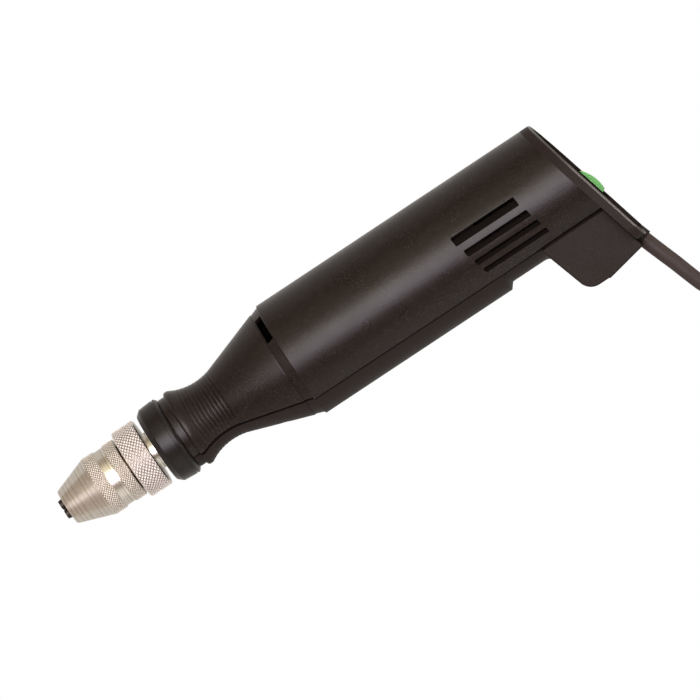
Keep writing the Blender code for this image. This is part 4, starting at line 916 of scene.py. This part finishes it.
def housing_tube(name, rear_bore):
    """Full round housing with its bosses, before it's split into shells."""
    far = RIM_X + SLANT * BARREL_RADIUS + END_THICK
    tube = lathe(name, [(far, 0.0), (far, BARREL_RADIUS), *nose_corners(), (SPIGOT_FRONT, 0.0)],
                 HOUSING, closed=False)
    even_grip(tube.data)
    bore = BARREL_RADIUS - BARREL_WALL
    inner = CAN_RADIUS + GAP
    start, end = SPIGOT_FRONT - END_THICK, far + END_THICK
    inside = [(start, 0.0), (start, NOSE_BORE), (SEAT_END, NOSE_BORE),
              (BARREL_FRONT - BAND_LENGTH, BAND_FRONT_RADIUS - BARREL_WALL), (BARREL_FRONT, bore)]
    for x in CAN_RIB_X:
        inside += [(x, bore), (x, inner), (x + CAN_RIB_LENGTH, inner), (x + CAN_RIB_LENGTH, bore)]
    if rear_bore < bore:
        step = RECESS_FRONT - BARREL_WALL
        inside += [(step - (bore - rear_bore), bore), (step, rear_bore)]
    inside += [(end, rear_bore), (end, 0.0)]
    core = lathe(name + "_inside", inside, steps=96, closed=False)
    return combine(tube, combine(core, *screw_bars("boss", SCREW_BOSS_RADIUS, -BARREL_RADIUS,
                                                   BARREL_RADIUS)))


def slot_cutters(side, index):
    """Air slots with rounded corners, evenly spaced up from the parting plane.

    The `far` ones are the mirror image of the near ones.
    """
    tools = []
    half_u, half_v = SLOT_LENGTH / 2, SLOT_WIDTH / 2
    for i in range(SLOT_COUNT):
        height = SLOT_FIRST + i * SLOT_PITCH
        reach = sqrt(BARREL_RADIUS**2 - height**2)
        drop = reach * sin(PARTING) - height * cos(PARTING)
        middle = rim_at(SLOT_MIDDLE_X, drop)
        corners = [(middle + u * half_u + v * half_v * SLOT_LEAN, -height + v * half_v, SLOT_CORNER)
                   for u, v in SQUARE]
        place = PARTED @ shift((0, 0, reach - BARREL_WALL))
        if side == "far":
            place = (shift((0, 0, AXIS_Z)) @ Matrix.Diagonal((1, 1, -1, 1))
                     @ shift((0, 0, -AXIS_Z)) @ place)
        tools.append(marked(slab(f"slot_{side}_{i + 1}", rounded(corners), 3 * BARREL_WALL,
                                 place), index))
    return tools


def window_cutter(name):
    """Bar that opens the air window on the crown of each shell."""
    half = BARREL_RADIUS * sin(WINDOW_ANGLE / 2)
    deep = 1.2 * BARREL_RADIUS
    return block(name, (BARREL_FRONT - BAND_LENGTH + GAP, -deep, -half),
                 (BARREL_FRONT - GAP / 3, deep, half), PARTED)


def upper_housing():
    """Shell with the crown, and the whole end frame that carries the switch."""
    shell = housing_tube("shell_upper", BARREL_RADIUS - BARREL_WALL)
    # after the housing plastic come its shaded copy (painted shade), its rim copy (painted
    # highlight) and the black plate plastic, which the marked cutters leave on seam faces and slot
    # walls as painted shade
    for mat in (HOUSING_SHADED_COPY, RIM_HIGHLIGHT, PLATE_BLACK_AND_GAP_SHADE):
        shell.data.materials.append(mat)
    high, wide, far = 0.0010, SEAM_WIDE, RIM_X + BARREL_RADIUS
    nose_rear = BARREL_FRONT - 0.0002
    gaps = (("nose_gap", [(NECK_FRONT, high), (LIP_FRONT, -wide), (nose_rear, -0.8 * wide),
                          (nose_rear, high)]),
            ("rear_gap", [(RECESS_FRONT, high), (RECESS_FRONT, -SEAM_UP / 2),
                          (FOOT_FRONT_X + 0.01, -wide), (far, -1.1 * wide), (far, high)]))
    # the parting face and the seam gaps cut here take the black plate plastic (index 3): painted
    # shade in the seam
    shell = combine(shell, arch_slab("past_barrel", -0.0100, END_FRONT_X + END_OVERLAP, far),
                    marked(below_parting("lower_side", -SEAM_UP, RIM_X), 3),
                    *[marked(slab(name, gap, 2 * END_DROP, PARTED), 3) for name, gap in gaps])
    past = RIM_X + 0.01
    # the end frame is built with the shaded copy and, on its rounded rim, the lighter rim copy:
    # painted shade and painted highlight
    frame_part = combine(
        arch_slab("end_frame", 0.0, END_FRONT_X, RIM_X, (HOUSING_SHADED_COPY, RIM_HIGHLIGHT), soft=0.0007),
        arch_slab("end_opening", END_WALL + LEDGE_WIDTH, END_FRONT_X - 0.01, past),
        arch_slab("plate_seat", END_WALL, END_FRONT_X + LEDGE_THICK, past),
        ("UNION", bar("outlet_boss", OUTLET_RADIUS, OUTLET_LENGTH,
                      OUTLET @ shift((0, 0, -OUTLET_LENGTH / 2)))),
        bar("outlet_bore", OUTLET_BORE, 4 * OUTLET_LENGTH, OUTLET))
    # the near slots' walls take the black plate plastic (index 3): painted shade in the slots
    shell = combine(shell, ("UNION", frame_part), window_cutter("window_near"),
                    *slot_cutters("near", 3),
                    *screw_bars("screw_pilot", SCREW_RADIUS + GAP,
                                SCREW_SEAT - SCREW_LENGTH - GAP, BARREL_WALL))
    return settle(shell, "tool", "housing_plastic", "housing_upper")


def foot_outline(inset, top):
    """Side view of the foot, as (world X, world Y), drawn in by `inset`."""
    def front_x(drop):
        return FOOT_FRONT_X + inset + FOOT_LEAN * (drop - RECESS_RADIUS)

    rear = END_FRONT_X - inset
    low = FOOT_DROP - inset - FOOT_STEP_DROP
    low_rear = FOOT_REAR_DROP - inset
    return rounded([
        (rim_at(rear, top), AXIS_Y - top), (front_x(top), AXIS_Y - top),
        (front_x(low), AXIS_Y - low, FOOT_CORNER - inset), (FOOT_STEP_X, AXIS_Y - low),
        (FOOT_STEP_X + FOOT_STEP_DROP, AXIS_Y - low - FOOT_STEP_RISE),
        (rim_at(rear, low_rear), AXIS_Y - low_rear)], parts=14)


def lower_housing():
    """Shell with the finger recess and the hollow foot."""
    shell = housing_tube("shell_lower", RECESS_RADIUS - RECESS_WALL)
    # the lower shell and its foot take the shaded copy, painted shade in place of a highlight;
    # index 1 is the black plate plastic that marked cutters leave as painted shade
    shell.data.materials[0] = HOUSING_SHADED_COPY
    shell.data.materials.append(PLATE_BLACK_AND_GAP_SHADE)
    far = RIM_X + 2 * BARREL_RADIUS
    side = FOOT_HALF_WIDTH
    front = RECESS_FRONT - RECESS_SLOPE / 2
    edge, past = front - 0.0004, far + 0.01
    full, deep = BARREL_RADIUS + 0.001, RECESS_RADIUS + 0.005
    core = lathe("recess_core", [
        (front - 0.01, 0.0), (front - 0.01, full), (edge, full),
        (front + RECESS_SLOPE, RECESS_RADIUS, 0.0008), (FOOT_FRONT_X, RECESS_RADIUS, RECESS_FILLET),
        (FOOT_FRONT_X + FOOT_LEAN * 0.005, deep), (past, deep), (past, 0.0)], closed=False, parts=8)
    recess = block("recess", (edge, AXIS_Y - 2 * BARREL_RADIUS, AXIS_Z - side),
                   (far, AXIS_Y - BARREL_RADIUS / 4, AXIS_Z + side))
    middle = shift((0, 0, AXIS_Z))
    skirt = AXIS_Y - FOOT_TOP - 0.001
    bm = slab_mesh(foot_outline(0.0, FOOT_TOP), side)
    soften(bm, 0.0006, lambda a, b: abs(a.z - b.z) < WELD and min(a.y, b.y) < skirt)
    head_ways = screw_bars("head_way", SCREW_HEAD_RADIUS + GAP, SCREW_SEAT,
                           BARREL_RADIUS + BARREL_WALL)
    ways = screw_bars("screw_way", SCREW_RADIUS + GAP, -BARREL_WALL, SCREW_SEAT + BARREL_WALL)
    # the parting face, the far slots' walls and the groove along the recess take the black plate
    # plastic (index 1): painted shade in the seam, the slots and the groove
    shell = combine(
        shell, combine(recess, core), ("UNION", mesh_object("foot", moved(bm, middle))),
        ("INTERSECT", marked(below_parting("own_side", SEAM / 4, END_FRONT_X - SEAM), 1)),
        slab("foot_hollow", foot_outline(FOOT_WALL, FOOT_TOP + FOOT_WALL), side - FOOT_WALL,
             middle),
        slab("foot_opening", foot_outline(2 * FOOT_WALL, BARREL_WALL), FOOT_OPENING, middle),
        window_cutter("window_far"), *slot_cutters("far", 1),
        marked(block("recess_seam", (RECESS_FRONT, AXIS_Y - 0.0160, AXIS_Z + NOSE_BORE),
                     (FOOT_FRONT_X + 0.0005, AXIS_Y - 0.0151, AXIS_Z + side + 0.001)), 1),
        bar("outlet_pocket", OUTLET_RADIUS + SEAM, 4 * OUTLET_LENGTH, OUTLET),
        *[tool for pair in zip(head_ways, ways) for tool in pair])
    return settle(shell, "tool", "housing_plastic", "housing_lower")


def nose_ring():
    rear = NECK_FRONT - GAP
    inner_front = SPIGOT_FRONT - GAP
    bore = SPIGOT_RADIUS + GAP
    groove = RING_GROOVE_X + 0.0005
    low = RING_RADIUS - RING_GROOVE_DEPTH
    corners = [(rear, RING_RADIUS - 0.0010), (rear - 0.0009, RING_RADIUS, 0.0003),
               (groove, RING_RADIUS, 0.0001), (groove, low),
               (RING_GROOVE_X, low), (RING_GROOVE_X, RING_RADIUS, 0.0001),
               (RING_FRONT + RING_CHAMFER, RING_RADIUS - 0.0004, 0.0009),
               (RING_FRONT, RING_FACE_RADIUS, 0.0006), (RING_FRONT, RING_MOUTH, 0.0002),
               (inner_front, RING_MOUTH), (inner_front, bore), (rear, bore)]
    ring = lathe("nose_collar", corners, BLACK, parts=6)
    return settle(ring, "tool", "black_plastic", "nose_ring")


def rear_end():
    """Plate inside the end frame, with the rocker switch that it carries."""
    front = END_FRONT_X + LEDGE_THICK + GAP
    length, width = SWITCH_LENGTH / 2, SWITCH_WIDTH / 2
    case_length, case_width = length - SWITCH_BEZEL, width - SWITCH_BEZEL
    room_length, room_width = case_length - SWITCH_WALL, case_width - SWITCH_CHEEK
    reach = 2 * PLATE_THICK
    plate = combine(
        arch_slab("end_plate", END_WALL + GAP, front, PLATE_FACE_X, (PLATE_BLACK_AND_GAP_SHADE,), soft=0.0002),
        switch_block("switch_hole", case_length + GAP, case_width + GAP, -reach, reach),
        bar("outlet_notch", OUTLET_RADIUS + GAP, 4 * OUTLET_LENGTH, OUTLET))
    settle(plate, "tool", "black_plastic", "rear_plate")
    top = GAP + SWITCH_BEZEL
    body = combine(
        switch_block("switch_case", length, width, GAP, top, PLATE_BLACK_AND_GAP_SHADE, 0.0003),
        ("UNION", switch_block("case_below", case_length, case_width, -SWITCH_DEPTH,
                               GAP + SWITCH_BEZEL / 2)),
        switch_block("switch_room", room_length, room_width, SWITCH_FLOOR - SWITCH_DEPTH, 2 * top),
        bar("pivot_holes", PIVOT_RADIUS + GAP, 2 * (room_width + PIVOT_LENGTH + GAP),
            ON_PLATE @ shift((0, 0, -PIVOT_DEPTH)) @ Matrix.Rotation(pi / 2, 4, "X")))
    settle(body, "tool", "black_plastic", "switch_body")


def switch_block(name, half_length, half_width, low, high, mat=None, soft=0.0):
    """Block that stands square on the rear plate, from `low` to `high` above it."""
    half = (high - low) / 2
    bm = slab_mesh(oblong(half_length, half_width, 2 * soft), half)
    if soft:
        soften(bm, soft, lambda a, b: min(a.z, b.z) > half - WELD)
    return mesh_object(name, moved(bm, ON_PLATE @ shift((0, 0, (low + high) / 2))), mat)


def rocker():
    """Green rocker with rounded rims, its pins, and the mark on its top."""
    shoulder = ROCKER_RISE - ROCKER_FALL / 2
    reach = sqrt(ROCKER_RADIUS**2 - shoulder**2)
    count = 24
    shares = [1 - 2 * i / count for i in range(count + 1)]
    side = ROCKER_RADIUS - ROCKER_DISH
    outline = [(share * reach, ROCKER_RISE - (ROCKER_RISE - shoulder) * share**2)
               for share in shares]
    outline += [(-side, 0.0), (-reach, -ROCKER_FALL), (reach, -ROCKER_FALL), (side, 0.0)]
    half = SWITCH_WIDTH / 2 - SWITCH_BEZEL - SWITCH_CHEEK - GAP
    stand = (ON_PLATE @ shift((0, 0, -PIVOT_DEPTH)) @ Matrix.Rotation(-ROCKER_TILT, 4, "Y"))
    upright = stand @ Matrix.Rotation(pi / 2, 4, "X")
    bm = slab_mesh(outline, half)
    soften(bm, 0.0005, lambda a, b: abs(a.z - b.z) < WELD and min(a.y, b.y) > 0.0005)
    piece = combine(mesh_object("switch_paddle", moved(bm, upright), GREEN), (
        "UNION", bar("paddle_pin", PIVOT_RADIUS, 2 * (half + PIVOT_LENGTH), upright)))
    settle(piece, "switch_rocker", "green_plastic", "rocker")
    thick = 0.0002
    bm = slab_mesh(oblong(*MARK_HALF, thick), thick)
    soften(bm, 0.00006, lambda a, b: min(a.z, b.z) > thick - WELD)
    place = stand @ shift((MARK_PLACE, half - 0.0020, ROCKER_RISE - MARK_SINK - thick))
    settle(mesh_object("paddle_mark", moved(bm, place), MARK), "switch_rocker", "green_plastic")


# ---- chuck
def triangle(value):
    """Wave that is 0 at whole numbers and 1 half-way between them."""
    return 1.0 - abs(2.0 * (value % 1.0) - 1.0)


def knurled(name, corners, bands, count, depth, mats, *where):
    """Turned piece; a corner whose index is in `bands` starts a band of pyramids.

    `bands` gives, for such a corner, how many diamonds lie along the band. The
    bands take the second of the two materials.
    """
    steps = count * KNURL_SAMPLES
    rows = []
    for i, (corner, after) in enumerate(zip(corners, corners[1:] + corners[:1])):
        rows.append((*corner, None))
        parts = bands.get(i, 0) * KNURL_SAMPLES
        for j in range(parts + 1 if parts else 0):
            share = j / parts
            rows.append((corner[0] + (after[0] - corner[0]) * share,
                         corner[1] + (after[1] - corner[1]) * share, j / KNURL_SAMPLES))
    bm = bmesh.new()
    rings = []
    for x, radius, row in rows:
        ring = []
        for k in range(steps):
            cut = 0.0
            if row is not None:
                around = k / KNURL_SAMPLES
                height = min(triangle(around + row), triangle(around - row))
                cut = depth * (1.0 - min(1.0, 1.35 * height))
            angle = 2 * pi * k / steps
            ring.append(bm.verts.new(at_axis(x, (radius - cut) * sin(angle),
                                             (radius - cut) * cos(angle))))
        rings.append(ring)
    for i in range(len(rings)):
        in_band = None not in (rows[i - 1][2], rows[i][2])
        bridge(bm, rings[i - 1], rings[i], int(in_band))
    bmesh.ops.remove_doubles(bm, verts=bm.verts, dist=WELD)
    return settle(mesh_object(name, bm, *mats, sharp=24.0), *where)


def chuck_sleeve():
    """Nose cone, two knurled bands and the plain groove between them."""
    groove_front = SLEEVE_CONE_REAR + SLEEVE_BAND_LENGTH
    groove_rear = SLEEVE_REAR - SLEEVE_BAND_LENGTH
    nose_rear = SLEEVE_FRONT + SLEEVE_NOSE_LENGTH
    edge = 0.00025
    slope = (SLEEVE_RADIUS - SLEEVE_NOSE_RADIUS) / (SLEEVE_CONE_REAR - nose_rear)
    low = SLEEVE_RADIUS - edge
    corners = [(SLEEVE_REAR, low), (SLEEVE_REAR - edge, SLEEVE_RADIUS),
               (groove_rear + edge, SLEEVE_RADIUS), (groove_rear, low),
               (groove_rear, SLEEVE_GROOVE_RADIUS), (groove_front, SLEEVE_GROOVE_RADIUS),
               (groove_front, low), (groove_front - edge, SLEEVE_RADIUS),
               (SLEEVE_CONE_REAR, SLEEVE_RADIUS)]
    corners += rounded([
        (SLEEVE_CONE_REAR - 0.0002, SLEEVE_RADIUS - 0.0002 * slope),
        (nose_rear, SLEEVE_NOSE_RADIUS, 0.0008), (SLEEVE_FRONT, SLEEVE_FACE_RADIUS, 0.0004),
        (SLEEVE_FRONT, SLEEVE_MOUTH, 0.0002), (MOUTH_REAR, SLEEVE_MOUTH),
        (THROAT_REAR, SLEEVE_BORE), (SLEEVE_REAR, SLEEVE_BORE)], closed=False, parts=4)
    knurled("chuck_shroud", corners, {1: 4, 7: 4}, 60, SLEEVE_KNURL, (CONE_STEEL, SLEEVE_STEEL),
            "sleeve", "bright_steel", "chuck_sleeve")


def grip_ring():
    """Knurled ring and the stepped hub behind it, which ends in the nose ring."""
    edge = GRIP_EDGE
    bore = SPINDLE_RADIUS + GAP
    low = HUB_RADIUS - HUB_GROOVE
    rear, middle, front = HUB_GROOVES
    corners = [(HUB_REAR, HUB_RADIUS), (rear, HUB_RADIUS), (rear, low), (middle, low),
               (middle, HUB_RADIUS), (front, HUB_RADIUS), (front, low),
               (GRIP_REAR, low), (GRIP_REAR, GRIP_RADIUS - edge),
               (GRIP_REAR - 0.7 * edge, GRIP_RADIUS), (GRIP_FRONT + 0.7 * edge, GRIP_RADIUS),
               (GRIP_FRONT, GRIP_RADIUS - edge), (GRIP_FRONT, CORE_BORE),
               (SPINDLE_FRONT - GAP, CORE_BORE), (SPINDLE_FRONT - GAP, bore), (HUB_REAR, bore)]
    knurled("chuck_grip", corners, {9: 6}, 50, GRIP_KNURL, (HUB_STEEL, KNURL_STEEL), "rotor",
            "bright_steel", "chuck_body")


def jaw_frame(index):
    """Frame at a jaw's tip: X outward, Z back along the slanted jaw."""
    angle = pi / JAW_COUNT * (1 + 2 * index)
    out = Vector((0.0, -sin(angle), cos(angle)))
    across = Vector((0.0, -cos(angle), -sin(angle)))
    back = Vector((cos(JAW_ANGLE), 0, 0)) + out * sin(JAW_ANGLE)
    up = across.cross(back).normalized()
    axes = Matrix((up, back.cross(up), back)).transposed().to_4x4()
    return shift(at_axis(JAW_TIP_X) + out * JAW_TIP_OFFSET) @ axes


def chuck_core():
    """Core inside the sleeve, with a bore for each jaw."""
    throat = (SLEEVE_BORE - SLEEVE_MOUTH) / (THROAT_REAR - MOUTH_REAR)
    nose = SLEEVE_MOUTH + throat * (CORE_FRONT - MOUTH_REAR) - 1.2 * GAP
    core, rear = SLEEVE_BORE - GAP, GRIP_FRONT - WELD
    body = lathe("chuck_core", [(rear, core), (THROAT_REAR, core), (CORE_FRONT, nose, 0.0003),
                                (CORE_FRONT, CORE_BORE), (rear, CORE_BORE)], DARK_STEEL, steps=96)
    length = JAW_LENGTH + JAW_TRAVEL + 2 * GAP
    body = combine(body, *[bar(f"jaw_way_{i + 1}", JAW_RADIUS + GAP, length,
                               jaw_frame(i) @ shift((0, 0, length / 2))) for i in range(JAW_COUNT)])
    settle(body, "rotor", "bright_steel", "chuck_body")


def cover_screw(index, place):
    """Pan head with a cross recess, on its shank."""
    head, tail = SCREW_SEAT + GAP, SCREW_SEAT - SCREW_LENGTH
    top = head + SCREW_HEAD_LENGTH
    stand = screw_frame(place)
    corners = [(0.0, top), (SCREW_HEAD_RADIUS, top, 0.0005), (SCREW_HEAD_RADIUS, head),
               (SCREW_RADIUS, head), (SCREW_RADIUS, tail), (0.0, tail)]
    bm = spun([(r, 0, z) for r, z in rounded(corners, False)], (0, 0, 0), (0, 0, 1), 48)
    arm, half = 0.0013, 0.00025
    screw = combine(
        mesh_object(f"shell_screw_{index + 1}", moved(bm, stand), DARK_STEEL),
        *[block("cross", (-u, -v, top - 0.0008), (u, v, top + 0.001), stand)
          for u, v in ((arm, half), (half, arm))])
    settle(screw, "tool", "dark_steel", f"cover_screw_{index + 1}")


upper_housing()
lower_housing()
nose_ring()
rear_end()
rocker()
chuck_sleeve()
grip_ring()
chuck_core()
for number, spot in enumerate(SCREW_PLACES):
    cover_screw(number, spot)

# ---- nodes that stay
LOOKS = (                       # of the CAD's nodes that show as they are
    (DARK_STEEL, "jaw_1 jaw_2 jaw_3 front_bearing spindle_bearing armature_core"),
    (PLAIN_STEEL, "spindle shaft_coupling motor_shaft"), (PLATE_BLACK_AND_GAP_SHADE, "motor_can end_bell"),
    (BRONZE, "front_bush rear_bush brush_cap_1 brush_cap_2"), (BLACK, "fan"),
    (FERRITE, "magnet_1 magnet_2"), (CARBON, "brush_1 brush_2"),
    (COPPER, "winding_front winding_rear commutator"), (HUB_STEEL, "plug_barrel"),
)
for look, nodes in LOOKS:
    for node in nodes.split():
        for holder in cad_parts[node].material_slots:
            holder.material = look


# ---- floor and light
def by_ray(tree, kind, others, these):
    """Shader `these` for one kind of ray, and `others` for the rest."""
    path = tree.nodes.new("ShaderNodeLightPath")
    return add(tree, "ShaderNodeMixShader", _0=path.outputs[f"Is {kind} Ray"],
               _1=others.outputs[0], _2=these.outputs[0])


def floor():
    """White to the camera, and a warm, dimmer white in reflections."""
    mat = bpy.data.materials.new("studio_floor")
    mat.use_nodes = True
    tree = mat.node_tree
    tree.nodes.clear()
    white = add(tree, "ShaderNodeEmission", Color=(1, 1, 1, 1), Strength=1.0)
    seen = add(tree, "ShaderNodeEmission", Color=(1.0, 0.95, 0.90, 1), Strength=0.75)
    matt = add(tree, "ShaderNodeBsdfDiffuse", Color=(0.8, 0.8, 0.8, 1))
    mix = by_ray(tree, "Camera", by_ray(tree, "Glossy", matt, seen), white)
    add(tree, "ShaderNodeOutputMaterial", Surface=mix.outputs[0])
    bm = bmesh.new()
    bmesh.ops.create_grid(bm, x_segments=1, y_segments=1, size=3.0)
    mesh_object("floor", bm, mat)


def sky_colour(tint, level=1.0):
    return (*[level * part / SKY_PEAK for part in tint], 1.0)


def studio_light():
    """Soft boxes as bands of the sky, seen across the spindle."""
    world = bpy.data.worlds.new("studio")
    bpy.context.scene.world = world
    world.use_nodes = True
    tree = world.node_tree
    tree.nodes.clear()
    where = tree.nodes.new("ShaderNodeTexCoord").outputs["Generated"]
    x, y, z = add(tree, "ShaderNodeSeparateXYZ", Vector=where).outputs
    angle = maths(tree, "ARCTAN2", maths(tree, "MULTIPLY", y, -1.0), z)
    turn = maths(tree, "ADD", maths(tree, "DIVIDE", angle, 2 * pi), 0.5)
    ramp = add(tree, "ShaderNodeValToRGB", _0=turn)
    ramp.color_ramp.interpolation = "EASE"
    stops = ramp.color_ramp.elements
    stops.remove(stops[-1])
    for i, (degrees, level, tint) in enumerate(SKY_STOPS):
        at = (degrees + 180.0) / 360.0
        stop = stops.new(at) if i else stops[0]
        stop.position = at
        stop.color = sky_colour(tint, level)
    ends = ramp_between(tree, maths(tree, "ABSOLUTE", x), 0.24, 0.52, 0.94)
    colour = mix_colour(tree, ends, ramp.outputs[0], sky_colour(SKY_SIDE))
    colour = mix_colour(tree, ramp_between(tree, x, 0.84, 0.90), colour, sky_colour(SKY_REAR))
    sky = add(tree, "ShaderNodeBackground", Color=colour, Strength=SKY_PEAK)
    white = add(tree, "ShaderNodeBackground", Color=(1, 1, 1, 1), Strength=1.0)
    mix = by_ray(tree, "Camera", sky, white)
    add(tree, "ShaderNodeOutputWorld", Surface=mix.outputs[0])


floor()
studio_light()
